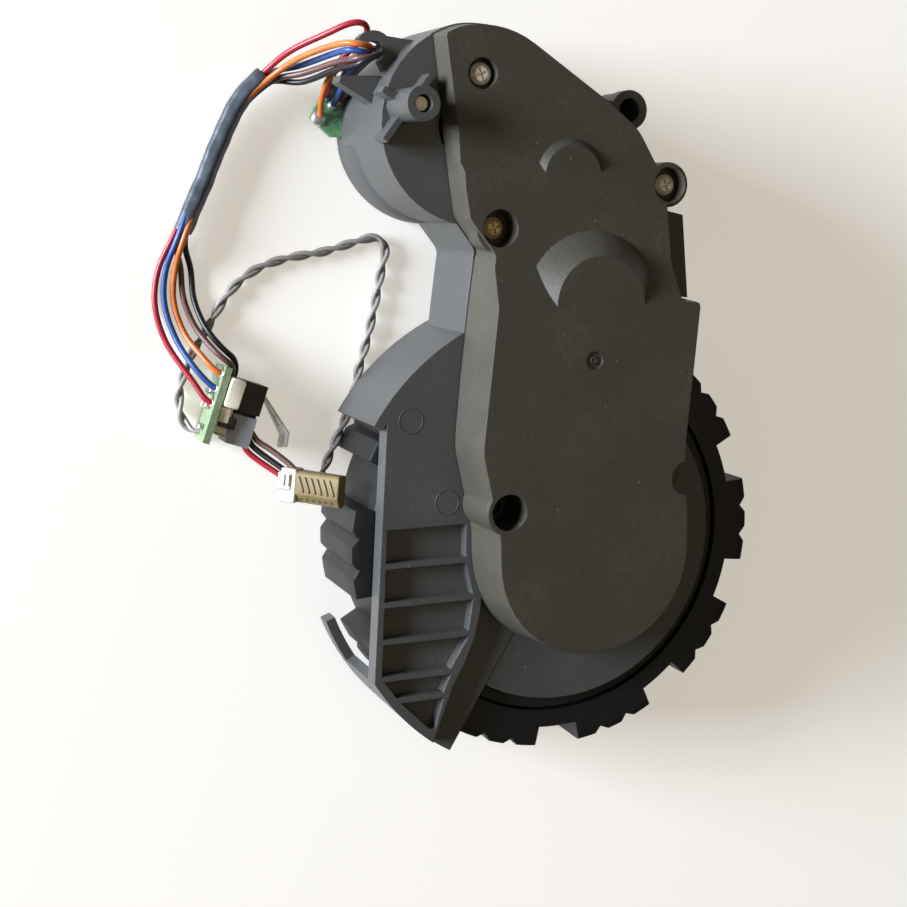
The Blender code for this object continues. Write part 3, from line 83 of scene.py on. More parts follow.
lens = bpy.data.cameras.new("camera")
lens.sensor_width = 36.0
lens.lens = FOCAL_PIXELS / IMAGE_SIDE * lens.sensor_width
lens.clip_start = 0.01
camera = bpy.data.objects.new("camera", lens)
camera_back = CAMERA_RIGHT.cross(CAMERA_UP).normalized()
level_up = camera_back.cross(CAMERA_RIGHT).normalized()
turn = Matrix((CAMERA_RIGHT.normalized(), level_up, camera_back)).transposed()
camera.matrix_world = Matrix.Translation(CAMERA_PLACE) @ turn.to_4x4()
bpy.context.scene.collection.objects.link(camera)
bpy.context.scene.camera = camera
print("camera", round(CAMERA_PLACE.length, 3), "m from the wheel, lens", round(lens.lens, 1), "mm")

# %% [markdown]
# ## Helpers for colours and nodes
# A colour is written as the hex value that a person would pick on the screen, and turned to linear
# light once. One function adds a shader node with its settings and its links, and one starts a
# material with the values that are the same all over the surface.


# %% Colour and node helpers
def linear(code, alpha=1.0):
    """sRGB hex to linear: each channel c becomes ((c + 0.055) / 1.055) ** 2.4, or c / 12.92 when small."""
    channels = np.array([int(code[i:i + 2], 16) for i in (1, 3, 5)]) / 255
    light = np.where(channels <= 0.04045, channels / 12.92, ((channels + 0.055) / 1.055) ** 2.4)
    return (*light.tolist(), alpha)


def add(material, kind, settings=None, links=None, inputs=None):
    """Add one node: settings are its properties, inputs are its sockets' values, links are its sources."""
    node = material.node_tree.nodes.new(kind)
    for name, value in (settings or {}).items():
        setattr(node, name, value)
    for name, value in (inputs or {}).items():
        node.inputs[name].default_value = value
    for name, source in (links or {}).items():
        material.node_tree.links.new(source, node.inputs[name])
    return node


def finish_of(name, colour, roughness, metallic=0.0, **more):
    """A material with one Principled shader, whose plain values are set on its own sockets."""
    material = bpy.data.materials.new(name)
    material.use_nodes = True
    shader = material.node_tree.nodes["Principled BSDF"]
    shader.inputs["Base Color"].default_value = linear(colour)
    shader.inputs["Roughness"].default_value = roughness
    shader.inputs["Metallic"].default_value = metallic
    for socket, value in more.items():
        shader.inputs[socket.replace("_", " ")].default_value = value
    return material, shader


print("colour helpers ready: mid grey is", round(linear("#808080")[0], 3), "in linear light")

# %% [markdown]
# ### What most finishes share
# Most finishes here are one idea: a colour that drifts a little over a slow noise, and a bump over a
# finer one. An image could carry both, but noise has no edges or repeats and fits every piece. So one
# function lays it on a material, and each finish gives it its own sizes.


# %% Drift and grain
def grained(material, shader, colours, drift, relief, edge=0.0, broken=None):
    """Colour that drifts over a slow noise, and a bump over a finer one, on softly rounded edges.

    colours is (darker, lighter, start, end), with start and end on the noise. drift is (size, detail).
    relief is (size, detail, height, strength). broken is a noise (size, detail) that the slow one is
    multiplied by. The slow noise and the colour come back, for a finish that builds on them.
    """
    place = add(material, "ShaderNodeTexCoord").outputs["Object"]
    wanted = [drift, relief[:2]] + ([broken] if broken else [])
    noises = [add(material, "ShaderNodeTexNoise", links={"Vector": place},
                  inputs={"Scale": 1.0 / size, "Detail": detail, "Roughness": 0.6})
              for size, detail in wanted]
    slow, fine, *second = [noise.outputs["Fac"] for noise in noises]
    source = slow
    if second:
        source = add(material, "ShaderNodeMath", {"operation": "MULTIPLY"},
                     {0: slow, 1: second[0]}).outputs["Value"]
    darker, lighter, start, end = colours
    tones = add(material, "ShaderNodeValToRGB", links={"Fac": source})
    for element, position, code in zip(tones.color_ramp.elements, (start, end), (darker, lighter)):
        element.position = position
        element.color = linear(code)
    material.node_tree.links.new(tones.outputs["Color"], shader.inputs["Base Color"])
    links = {"Height": fine}
    if edge:
        rounded = add(material, "ShaderNodeBevel", {"samples": 4}, inputs={"Radius": edge})
        links["Normal"] = rounded.outputs["Normal"]
    height, strength = relief[2:]
    bumped = add(material, "ShaderNodeBump", links=links, inputs={"Strength": strength, "Distance": height})
    material.node_tree.links.new(bumped.outputs["Normal"], shader.inputs["Normal"])
    return slow, tones.outputs["Color"]


print("sizes, heights and radii of a finish are in metres, so 1 mm is", MM)

# %% [markdown]
# ## A grid of points becomes a piece
# Most added pieces are one surface over two parameters, such as the angle round a tube and the place
# along it. numpy works out all its points at once. A surface that closes on itself wraps its last row
# or column to the first, and an open tube gets a cap at each end, so that every piece is a closed skin.


# %% Grids into meshes
def grid_mesh(name, points, close_rows, close_columns, caps=False):
    """A mesh from an (n, m, 3) grid: quads join neighbours, and wrap where a direction is closed."""
    rows, columns = points.shape[:2]
    index = np.arange(rows * columns).reshape(rows, columns)
    row = np.arange(rows if close_rows else rows - 1)[:, None]
    column = np.arange(columns if close_columns else columns - 1)[None, :]
    next_row, next_column = (row + 1) % rows, (column + 1) % columns
    faces = np.stack([index[row, column], index[row, next_column], index[next_row, next_column],
                      index[next_row, column]], axis=-1).reshape(-1, 4).tolist()
    if caps:
        faces += [index[0].tolist(), index[-1][::-1].tolist()]
    mesh = bpy.data.meshes.new(name)
    mesh.from_pydata(points.reshape(-1, 3).tolist(), [], faces)
    work = bmesh.new()
    work.from_mesh(mesh)
    bmesh.ops.remove_doubles(work, verts=work.verts, dist=1e-7)
    bmesh.ops.recalc_face_normals(work, faces=work.faces)
    work.to_mesh(mesh)
    work.free()
    mesh.update()
    return mesh


def new_piece(name, mesh, material, body, angle=40):
    """Link a finished mesh as one piece, smooth by angle, and let it ride on its body."""
    item = bpy.data.objects.new(name, mesh)
    bpy.context.scene.collection.objects.link(item)
    mesh.materials.append(material)
    mesh.shade_smooth()
    if angle < 180:
        mesh.set_sharp_from_angle(angle=math.radians(angle))
    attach(item, body)
    return item


print("mesh helpers ready: a piece sits at the origin and rides on its body")

# %% [markdown]
# ## A path becomes a tube
# A wire could be a curve object with a round bevel. A Catmull-Rom curve goes through the places, and a
# Gaussian average can round its bends.


# %% Paths
def length_of(path):
    """Sum of the steps between neighbouring stations."""
    return float(np.linalg.norm(np.diff(path, axis=0), axis=1).sum())


def along(places, count):
    """Points at equal steps along a Catmull-Rom curve through the places, as one array."""
    places = np.asarray(places, float)
    ends = np.vstack([2 * places[0] - places[1], places, 2 * places[-1] - places[-2]])
    t = np.linspace(0, 1, 24, endpoint=False)[None, :, None]
    p0, p1, p2, p3 = (ends[i:len(ends) - 3 + i, None, :] for i in range(4))
    curve = 0.5 * (2 * p1 + (p2 - p0) * t + (2 * p0 - 5 * p1 + 4 * p2 - p3) * t ** 2
                   + (3 * p1 - p0 - 3 * p2 + p3) * t ** 3)
    dense = np.vstack([curve.reshape(-1, 3), places[-1]])
    length = np.concatenate([[0], np.cumsum(np.linalg.norm(np.diff(dense, axis=0), axis=1))])
    goal = np.linspace(0, length[-1], count)
    return np.stack([np.interp(goal, length, dense[:, k]) for k in range(3)], axis=1)


def relaxed(path, spread):
    """The path after a Gaussian average over about spread metres, as a springy wire rounds its bends."""
    step = length_of(path) / (len(path) - 1)
    reach = max(1, int(3 * spread / step))
    weight = np.exp(-0.5 * (np.arange(-reach, reach + 1) * step / spread) ** 2)
    weight /= weight.sum()
    before = 2 * path[0] - path[reach:0:-1]
    after = 2 * path[-1] - path[-2:-reach - 2:-1]
    padded = np.vstack([before, path, after])
    return np.stack([np.convolve(padded[:, k], weight, "valid") for k in range(3)], axis=1)


test_path = along([(0, 0, 0), (0.01, 0, 0), (0.02, 0, 0)], 9)
print("a straight test path is", round(length_of(test_path) / MM, 2), "mm")

# %% [markdown]
# ### Rings across the path
# A ring needs two directions across the path. Taken afresh at each station they could flip, and the
# tube would pinch, so each pair is the one before it, turned just enough to stand across again.


# %% Tubes
def frames(path):
    """Tangent and two cross directions at each station, carried along without twist."""
    tangent = np.gradient(path, axis=0)
    tangent /= np.linalg.norm(tangent, axis=1)[:, None]
    side = np.cross(tangent[0], (0.0, 0.3, 1.0))
    sides = []
    for direction in tangent:
        side = side - direction * side.dot(direction)
        side = side / np.linalg.norm(side)
        sides.append(side)
    sides = np.array(sides)
    return tangent, sides, np.cross(tangent, sides)


def tube_points(path, radius, sides=14):
    """Rings round a path: point = path + radius(s, a) * (cos a * side + sin a * up)."""
    tangent, side, up = frames(path)
    angle = np.linspace(0, math.tau, sides, endpoint=False)
    ring = np.cos(angle)[None, :, None] * side[:, None, :] + np.sin(angle)[None, :, None] * up[:, None, :]
    radius = np.broadcast_to(np.asarray(radius, float), (len(path), sides))
    return path[:, None, :] + radius[..., None] * ring


print("a test tube's grid is", tube_points(test_path, MM).shape)

# %% [markdown]
# ## Wires first
# The harness is a handful of thin stranded wires in soft PVC. Each colour is one wire, from the
# sensor board under the motor, up over a moulded hook, down through it into a shrunk sleeve, and on to
# the switch's board. PVC of this kind is smooth with a soft gloss, and the extruder leaves it even.
# Each wire is a round tube on one smooth path, because that is what it is. The route's places repeat
# those of the solids, and inside the sleeve the five wires lie round its middle.

# %% Routes of the harness
WIRE = 0.00105            # over the insulation
SLEEVE_ROUTE = ((-0.0487, 0.0804, 0.0036), (-0.0522, 0.0768, 0.0028), (-0.0549, 0.0720, 0.0022),
                (-0.0571, 0.0671, 0.0020), (-0.0590, 0.0627, 0.0020), (-0.0609, 0.0586, 0.0020),
                (-0.0629, 0.0543, 0.0021))
TURN_RADIUS = 0.0023      # of the round bend over the hook


def over_hook(right, top, first, last):
    """The bend over the hook: x = right - r + r cos a, z = top - r + r sin a, y from first to last."""
    angle = np.radians([150, 120, 90, 60, 30, 0])
    x = right - TURN_RADIUS + TURN_RADIUS * np.cos(angle)
    z = top - TURN_RADIUS + TURN_RADIUS * np.sin(angle)
    y = np.interp(angle, [0, np.radians(150)], [last, first])
    return tuple(zip(x.tolist(), y.tolist(), z.tolist()))


UPPER_ROUTES = {
    "red": ((-0.0482, 0.0812, 0.0046), (-0.0451, 0.0841, 0.0087), (-0.0405, 0.0865, 0.0136),
            (-0.0373, 0.0880, 0.0160), (-0.0349, 0.0880, 0.0162), (-0.0340, 0.0866, 0.0144),
            (-0.0350, 0.0849, 0.0118), (-0.0368, 0.0829, 0.0096), (-0.0376, 0.0806, 0.0077),
            (-0.0377, 0.0786, 0.0056), (-0.0380, 0.0771, 0.0038)),
    "orange": ((-0.0475, 0.0801, 0.0054), (-0.0444, 0.0826, 0.0096), (-0.0409, 0.0842, 0.0152),
               *over_hook(-0.0346, 0.0201, 0.0846, 0.0840), (-0.0349, 0.0836, 0.0142),
               (-0.0368, 0.0819, 0.0113),
               (-0.0388, 0.0797, 0.0087), (-0.0392, 0.0765, 0.0057), (-0.0388, 0.0738, 0.0037)),
    "blue": ((-0.0479, 0.0804, 0.0030), (-0.0434, 0.0817, 0.0074), (-0.0398, 0.0832, 0.0142),
             *over_hook(-0.0346, 0.0199, 0.0835, 0.0829), (-0.0348, 0.0824, 0.0142),
             (-0.0361, 0.0801, 0.0107),
             (-0.0364, 0.0778, 0.0074), (-0.0366, 0.0757, 0.0038)),
    "brown": ((-0.0474, 0.0793, 0.0041), (-0.0431, 0.0804, 0.0081), (-0.0392, 0.0819, 0.0145),
              *over_hook(-0.0334, 0.0202, 0.0821, 0.0828), (-0.0336, 0.0824, 0.0141),
              (-0.0346, 0.0803, 0.0093),
              (-0.0349, 0.0778, 0.0067), (-0.0352, 0.0765, 0.0038)),
    "black": ((-0.0476, 0.0792, 0.0022), (-0.0428, 0.0791, 0.0063), (-0.0393, 0.0807, 0.0138),
              *over_hook(-0.0333, 0.0214, 0.0811, 0.0838), (-0.0335, 0.0840, 0.0160),
              (-0.0340, 0.0832, 0.0120),
              (-0.0352, 0.0812, 0.0070), (-0.0356, 0.0785, 0.0044), (-0.0358, 0.0772, 0.0038)),
}
print("over the hook:", ", ".join(UPPER_ROUTES))

# %% [markdown]
# ### Below the sleeve, and to the plug
# Below the sleeve the wires fan out over the table and rise to the switch's board. Three short wires
# and a grey pair go on to the plug: the pair makes a long loop over the table first.

# %% Routes below the sleeve
LOWER_ROUTES = {
    "red": ((-0.0641, 0.0539, 0.0016), (-0.0668, 0.0480, 0.0006), (-0.0676, 0.0420, 0.0006),
            (-0.0660, 0.0355, 0.0015), (-0.0622, 0.0290, 0.0046), (-0.0606, 0.0262, 0.0060),
            (-0.0594, 0.0255, 0.0063)),
    "blue": ((-0.0637, 0.0537, 0.0031), (-0.0657, 0.0478, 0.0012), (-0.0660, 0.0420, 0.0008),
             (-0.0644, 0.0360, 0.0022), (-0.0618, 0.0312, 0.0050), (-0.0594, 0.0284, 0.0060),
             (-0.0586, 0.0279, 0.0062)),
    "orange": ((-0.0629, 0.0532, 0.0033), (-0.0642, 0.0478, 0.0015), (-0.0644, 0.0425, 0.0007),
               (-0.0630, 0.0372, 0.0018), (-0.0607, 0.0334, 0.0050), (-0.0590, 0.0312, 0.0066),
               (-0.0577, 0.0305, 0.0068)),
    "brown": ((-0.0633, 0.0531, 0.0009), (-0.0630, 0.0478, 0.0006), (-0.0627, 0.0430, 0.0007),
              (-0.0612, 0.0384, 0.0018), (-0.0592, 0.0352, 0.0040), (-0.0575, 0.0332, 0.0056),
              (-0.0558, 0.0318, 0.0052), (-0.0553, 0.0303, 0.0040), (-0.0556, 0.0290, 0.0032)),
    "black": ((-0.0624, 0.0532, 0.0019), (-0.0613, 0.0478, 0.0007), (-0.0610, 0.0432, 0.0007),
              (-0.0600, 0.0394, 0.0020), (-0.0586, 0.0366, 0.0036), (-0.0567, 0.0343, 0.0042),
              (-0.0550, 0.0328, 0.0036), (-0.0543, 0.0309, 0.0026), (-0.0547, 0.0290, 0.0020)),
}
PLUG_ROUTES = {
    "red": ((-0.0541, 0.0186, 0.0042), (-0.0535, 0.0173, 0.0043), (-0.0529, 0.0163, 0.0046),
            (-0.0512, 0.0148, 0.0055), (-0.0484, 0.0127, 0.0073), (-0.0474, 0.0119, 0.0080)),
    "black": ((-0.0532, 0.0195, 0.0044), (-0.0526, 0.0182, 0.0045), (-0.0520, 0.0172, 0.0048),
              (-0.0503, 0.0157, 0.0059), (-0.0478, 0.0137, 0.0078), (-0.0465, 0.0126, 0.0088)),
    "brown": ((-0.0527, 0.0206, 0.0046), (-0.0519, 0.0191, 0.0047), (-0.0511, 0.0181, 0.0050),
              (-0.0493, 0.0168, 0.0064), (-0.0470, 0.0148, 0.0083), (-0.0456, 0.0132, 0.0096)),
}
GREY_ROUTE = ((-0.0601, 0.0211, 0.0038), (-0.0612, 0.0203, 0.0030), (-0.0626, 0.0206, 0.0018),
              (-0.0638, 0.0227, 0.0011), (-0.0640, 0.0260, 0.0009),
              (-0.0634, 0.0290, 0.0008), (-0.0615, 0.0335, 0.0008), (-0.0588, 0.0377, 0.0008),
              (-0.0547, 0.0440, 0.0009), (-0.0498, 0.0478, 0.0009), (-0.0440, 0.0496, 0.0009),
              (-0.0380, 0.0505, 0.0009), (-0.0325, 0.0520, 0.0009), (-0.0280, 0.0530, 0.0009),
              (-0.0262, 0.0512, 0.0009), (-0.0270, 0.0475, 0.0009), (-0.0285, 0.0405, 0.0009),
              (-0.0300, 0.0345, 0.0009), (-0.0318, 0.0285, 0.0009), (-0.0330, 0.0235, 0.0009),
              (-0.0360, 0.0170, 0.0012), (-0.0383, 0.0131, 0.0024), (-0.0397, 0.0112, 0.0046),
              (-0.0404, 0.0105, 0.0078), (-0.0407, 0.0104, 0.0105), (-0.0409, 0.0103, 0.0127))
PENTAGON = {"red": 0, "blue": 4, "orange": 3, "brown": 2, "black": 1}   # order round the sleeve's middle
PENTAGON_RADIUS = 0.00091
FIRST_CORNER = 0.5        # radians, where the pentagon starts
print("routes for", len(UPPER_ROUTES), "long wires,", len(PLUG_ROUTES), "short ones and a pair")

# %% [markdown]
# ### One smooth path for each wire
# A real wire runs through the sleeve in one length. So each colour's places over the hook, in the
# sleeve and below it are joined into one list, one curve goes through them, and a Gaussian average
# rounds the bends as springy copper does. Inside the sleeve the five stand at a pentagon's corners.

# %% One path for each colour
WIRE_STATIONS = 300
WIRE_SPREAD = 0.0006      # over which a wire's bends are rounded


def whole_path(colour):
    """Board, hook, sleeve and lower loop of one wire as one smooth path."""
    upper = UPPER_ROUTES[colour][::-1]
    middle = along(SLEEVE_ROUTE, 9)
    tangent, side, up = frames(middle)
    angle = math.tau * PENTAGON[colour] / 5 + FIRST_CORNER
    offset = PENTAGON_RADIUS * (math.cos(angle) * side + math.sin(angle) * up)
    inside = (middle + offset)[2:-2:2]
    places = np.vstack([upper, inside, LOWER_ROUTES[colour]])
    return relaxed(along(places, WIRE_STATIONS), WIRE_SPREAD)


PATHS = {colour: whole_path(colour) for colour in UPPER_ROUTES}
for colour, path in PATHS.items():
    print(colour, "wire:", round(length_of(path) / MM, 1), "mm, lowest", round(path[:, 2].min() / MM, 2))

# %% [markdown]
# ### The wires' insulation
# Soft PVC, extruded: an even colour with a soft gloss. A faint unevenness in the gloss, drawn at half
# a millimetre so that it shows, is what keeps it from looking like glass.


# %% PVC insulation
def soft_pvc(name, colour, shade):
    """Extruded PVC: IOR 1.53, roughness 0.38, with a slow drift between two close colours."""
    material, shader = finish_of(name, colour, 0.38, IOR=1.53)
    grained(material, shader, (shade, colour, 0.2, 0.75), (0.0016, 4.0), (0.0005, 4.0, 0.00002, 0.5))
    return material


PVC = {
    "red": soft_pvc("pvc_red", "#b3202c", "#8f1a26"),
    "orange": soft_pvc("pvc_orange", "#dc7a35", "#c0601f"),
    "blue": soft_pvc("pvc_blue", "#2f5596", "#23437c"),
    "brown": soft_pvc("pvc_brown", "#6b4a42", "#533730"),
    "black": soft_pvc("pvc_black", "#1c1a1e", "#121114"),
    "grey": soft_pvc("pvc_grey", "#98938b", "#858079"),
}
print("insulation in", len(PVC), "colours")

# %% [markdown]
# ### Round wires on those paths
# Each wire is a round tube on its path and stands in for its solid's plain stretches. Between the
# switch and the plug run three short ones in the same insulation. The shading is smooth round the
# wire, and only the cut ends keep a sharp edge.

# %% Build the wires
WIRE_SMOOTH = 60          # degrees


def wire_piece(name, path, diameter, material, sides=14):
    """A closed round tube along the path, on the module's body."""
    mesh = grid_mesh(name, tube_points(path, diameter / 2, sides), False, True, True)
    return new_piece(name, mesh, material, "module", WIRE_SMOOTH)


WIRES, SHORT_WIRES = {}, []
for colour, path in PATHS.items():
    WIRES[colour] = wire_piece("wire_" + colour, path, WIRE, PVC[colour])
    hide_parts("wire_%s_upper" % colour, "wire_%s_lower" % colour)
for colour, route in PLUG_ROUTES.items():
    path = along(route, 40)
    piece = wire_piece("plug_wire_" + colour, path, WIRE, PVC[colour])
    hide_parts("wire_%s_plug" % colour)
    SHORT_WIRES.append(piece)
    print("short", colour, "wire:", round(length_of(path) / MM, 1), "mm")
print("built", len(WIRES), "long wires and", len(SHORT_WIRES), "short ones")

# %% [markdown]
# ### The shrunk sleeve
# A length of heat-shrink tube holds the five wires. Shrunk over a bundle it isn't round: it follows
# the wires a little, with soft lengthwise hollows between them, and a few dents where it was bent.

# %% Heat-shrink sleeve
SLEEVE_RADIUS = 0.0017
SLEEVE_SIDES = 40
sleeve_path = along(SLEEVE_ROUTE, 120)
share = np.linspace(0, 1, 120)[:, None]
around = np.linspace(0, math.tau, SLEEVE_SIDES, endpoint=False)[None, :]
# Drawn in at both ends, dented by slow folds, and raised a little over each of the five wires
ends = 1 - 0.10 * np.exp(-share / 0.015) - 0.10 * np.exp(-(1 - share) / 0.015)
folds = 0.022 * np.sin(23 * share + 2.0 * np.cos(around)) + 0.018 * np.sin(51 * share + 1.1 + around)
sleeve_radius = SLEEVE_RADIUS * (0.95 + 0.045 * np.cos(5 * (around - FIRST_CORNER)) + folds) * ends
shrink, shrink_shader = finish_of("heat_shrink_tube", "#3e444c", 0.40, IOR=1.5)
grained(shrink, shrink_shader, ("#343a41", "#51585f", 0.3, 0.7), (0.003, 4.0), (0.0011, 5.0, 0.00009, 0.7))
sleeve_points = tube_points(sleeve_path, sleeve_radius, SLEEVE_SIDES)
sleeve = new_piece("shrunk_sleeve", grid_mesh("shrunk_sleeve", sleeve_points, False, True, True), shrink,
                   "module", WIRE_SMOOTH)
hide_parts("harness_sleeve")
print("sleeve", round(length_of(sleeve_path) / MM, 1), "mm long")

# %% [markdown]
# ### The grey twisted pair
# Two grey wires are twisted round each other by hand, a turn in about 9 mm. Each strand is a helix
# round the pair's own route, half a turn apart from the other.

# %% Twisted pair
STRAND = 0.00085
STRAND_GAP = 0.00001      # from each strand to the pair's middle line
TWIST_PITCH = 0.0086
PAIR_STATIONS = 520
PAIR_SPREAD = 0.0010      # over which the pair's bends are rounded
grey_path = relaxed(along(GREY_ROUTE, PAIR_STATIONS), PAIR_SPREAD)
tangent, side, up = frames(grey_path)
phase = math.tau * np.linspace(0, length_of(grey_path), PAIR_STATIONS)[:, None] / TWIST_PITCH
for number in range(2):
    angle = phase + math.pi * number
    strand = grey_path + (STRAND / 2 + STRAND_GAP) * (np.cos(angle) * side + np.sin(angle) * up)
    piece = wire_piece("grey_strand_%d" % (number + 1), strand, STRAND, PVC["grey"], 12)
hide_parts("grey_pair")

# %% [markdown]
# ## Dressing a solid
# The solids come as loose triangles with flat normals. A copy is merged, gets its material and is
# smoothed by angle, and the frame's solid steps back behind it. Smoothing alone would bend a large
# flat face near its edges, so weighted normals keep it flat. A hollow that only shows from above is
# carved into the copy with a boolean, which leaves true edges where a bump would paint them.


# %% Dress and carve
def carved(mesh, outline, low, high):
    """The mesh less an upright prism over the outline, for a hollow that only shows from above."""
    plan = np.array(outline)
    sides = np.stack([np.column_stack([plan, np.full(len(plan), height)]) for height in (low, high)])
    pair = []
    for name, form in (("carved", mesh), ("carver", grid_mesh("carver", sides, False, True, True))):
        item = bpy.data.objects.new(name, form)
        bpy.context.scene.collection.objects.link(item)
        pair.append(item)
    cut = pair[0].modifiers.new("cut", "BOOLEAN")
    cut.object = pair[1]
    cut.solver = "EXACT"
    bpy.context.view_layer.update()
    result = bpy.data.meshes.new_from_object(pair[0].evaluated_get(bpy.context.evaluated_depsgraph_get()))
    for item in pair:
        bpy.data.objects.remove(item)
    return result


def dressed(node, material, angle=32, carving=None):
    """A copy of a CAD node with its loose triangles merged and smoothed by angle, in the node's place.

    The weighted normals keep a large flat face flat, and bend only the narrow faces round it.
    """
    source = NODES[node]
    mesh = source.data.copy()
    work = bmesh.new()
    work.from_mesh(mesh)
    bmesh.ops.remove_doubles(work, verts=work.verts, dist=2e-6)
    bmesh.ops.dissolve_degenerate(work, edges=work.edges, dist=1e-6)
    work.to_mesh(mesh)
    work.free()
    if "custom_normal" in mesh.attributes:      # the flat normals that came with the solid
        mesh.attributes.remove(mesh.attributes["custom_normal"])
    if carving:
        mesh = carved(mesh, *carving)
    mesh.materials.clear()
    piece = new_piece(node + "_finish", mesh, material, source["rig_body"], angle)
    even = piece.modifiers.new("even", "WEIGHTED_NORMAL")
    even.keep_sharp = True
    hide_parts(node)
    return piece


print("the frame's solids:", len(NODES))

# %% [markdown]
# ## The charcoal mouldings
# The cover and the housing are charcoal ABS, injection moulded in a tool with a fine spark texture.
# That gives the eye a matte, slightly warm dark grey with a tiny grain, softer highlights along the
# edges, and pale dust in the texture. The grain on the real part is about 0.1 mm, and it is drawn at
# 0.35 mm so that it shows. Edges get a small worked radius from the Bevel node.


# %% Charcoal ABS
def moulded_abs(name, colour, dust, grain=0.00035, rough=0.55):
    """Spark-textured ABS: IOR 1.54, a grain in the bump, dust in the colour and a soft edge radius."""
    material, shader = finish_of(name, colour, rough, IOR=1.54)
    slow, colours = grained(material, shader, (colour, dust, 0.22, 0.62), (0.012, 5.0),
                            (grain, 2.0, 0.00003, 0.55), 0.00022, (0.0006, 3.0))
    place = add(material, "ShaderNodeTexCoord")
    cells = add(material, "ShaderNodeTexVoronoi", links={"Vector": place.outputs["Object"]},
                inputs={"Scale": 230.0, "Randomness": 1.0})
    specks = add(material, "ShaderNodeMapRange", links={"Value": cells.outputs["Distance"]},
                 inputs={"From Min": 0.020, "From Max": 0.045, "To Min": 0.55, "To Max": 0.0})
    dusty = add(material, "ShaderNodeMix", {"data_type": "RGBA"}, {0: specks.outputs["Result"], 6: colours},
                {7: linear("#a9a79e")})
    material.node_tree.links.new(dusty.outputs[2], shader.inputs["Base Color"])
    gloss = add(material, "ShaderNodeMapRange", links={"Value": slow},
                inputs={"To Min": rough - 0.05, "To Max": rough + 0.09})
    material.node_tree.links.new(gloss.outputs["Result"], shader.inputs["Roughness"])
    return material


COVER_ABS = moulded_abs("abs_cover", "#434036", "#5a5647", 0.00035, 0.50)
HOUSING_ABS = moulded_abs("abs_housing", "#4b4c4a", "#605f5b", 0.00045, 0.44)
HUB_ABS = moulded_abs("abs_hub", "#101011", "#18181a", 0.00045, 0.60)
print("three charcoal finishes ready")

# %% [markdown]
# ### Cover, housing and hub
# The flange beside the gearbox steps down beyond its ribs, between them and its free edge, and up to
# the cover's round end. That hollow is cut into the housing's copy. The cover's three levels are
# joined by gentle ramps, and no edge shows there on the real one, so the ramps keep their shape and
# take the flats' shading.


# %% Cover, housing and hub
def soften_ramps(piece, lowest, least=8, most=48, sideways=0.02):
    """Give the gentle ramps between a lid's levels the flats' direction, so that no edge shows there.

    A ramp is a face above lowest that leans along Y alone, by least to most degrees.
    """
    graph = bpy.context.evaluated_depsgraph_get()
    mesh = bpy.data.meshes.new_from_object(piece.evaluated_get(graph))
    normals = np.array([list(corner.vector) for corner in mesh.corner_normals])
    ramps = 0
    for face in mesh.polygons:
        lean = math.degrees(math.acos(min(1.0, face.normal.z))) if face.normal.z > 0 else 90.0
        if face.center.z > lowest and abs(face.normal.x) < sideways and least < lean < most:
            normals[face.loop_start:face.loop_start + face.loop_total] = (0, 0, 1)
            ramps += 1
    mesh.normals_split_custom_set(normals.tolist())
    piece.modifiers.clear()
    piece.data = mesh
    print("softened", ramps, "ramp faces")


END_ARC = np.radians(np.linspace(207, 243, 10))
STEP_OUTLINE = [(-0.0002 + 0.0184 * math.cos(a), -0.0002 + 0.0184 * math.sin(a)) for a in END_ARC]
STEP_OUTLINE += [(-0.0070, -0.0180), (-0.0115, -0.0245), (-0.0190, -0.0385), (-0.0265, -0.0385),
                 (-0.0255, -0.0336), (-0.0229, -0.0268), (-0.0221, -0.0244), (-0.0197, -0.0201),
                 (-0.0178, -0.0156), (-0.0168, -0.0110)]
STEP_FLOOR, STEP_CLEAR = 0.0203, 0.0260
RAMPS_FROM = 0.0285       # only faces above this height belong to the lid's levels
cover = dressed("gearbox_cover", COVER_ABS, 26)
soften_ramps(cover, RAMPS_FROM)
housing = dressed("base_housing", HOUSING_ABS, 26, (STEP_OUTLINE, STEP_FLOOR, STEP_CLEAR))
hub = dressed("wheel_hub", HUB_ABS, 30)
print("mouldings:", cover.name, housing.name, hub.name)

# %% [markdown]
# ### Small moulded details
# A moulding tells how it was made: two ejector pins left round marks on the flange, the melt came in
# through a gate that left a nub in a dimple, and the ring lug is a blind socket and so looks black.
# They are turned shapes: a profile of radius and height, swept round its axis.


# %% Turned details
def turned_points(centre, profile, first=0.0, last=math.tau, steps=48):
    """Sweep (radius, height) pairs round an upright axis: (x + r cos a, y + r sin a, z)."""
    whole = abs(last - first - math.tau) < 1e-6
    angle = np.linspace(first, last, steps, endpoint=not whole)[:, None]
    profile = np.array(profile)
    x = centre[0] + profile[:, 0] * np.cos(angle)
    y = centre[1] + profile[:, 0] * np.sin(angle)
    return np.stack([x, y, np.broadcast_to(profile[:, 1], x.shape)], axis=-1)


def turned_piece(name, centre, profile, material, arc=(0.0, math.tau), steps=48):
    """A turned shape as a piece: a whole turn closes on itself, and a shorter arc gets end caps."""
    whole = abs(arc[1] - arc[0] - math.tau) < 1e-6
    points = turned_points(centre, profile, *arc, steps)
    return new_piece(name, grid_mesh(name, points, whole, True, not whole), material, "module")


print("a turned test ring has", len(turned_points((0, 0), ((1.0, 0.0),))), "stations")

# %% [markdown]
# ### Marks, sockets and bands
# The two marks are low rings, the gate is a nub in its dimple, and the ring lug gets a floor. Round
# the motor cup, one band closes the foot of its window from outside, and another is the shallow step
# low on its wall, which stands out by a seventh of a millimetre.

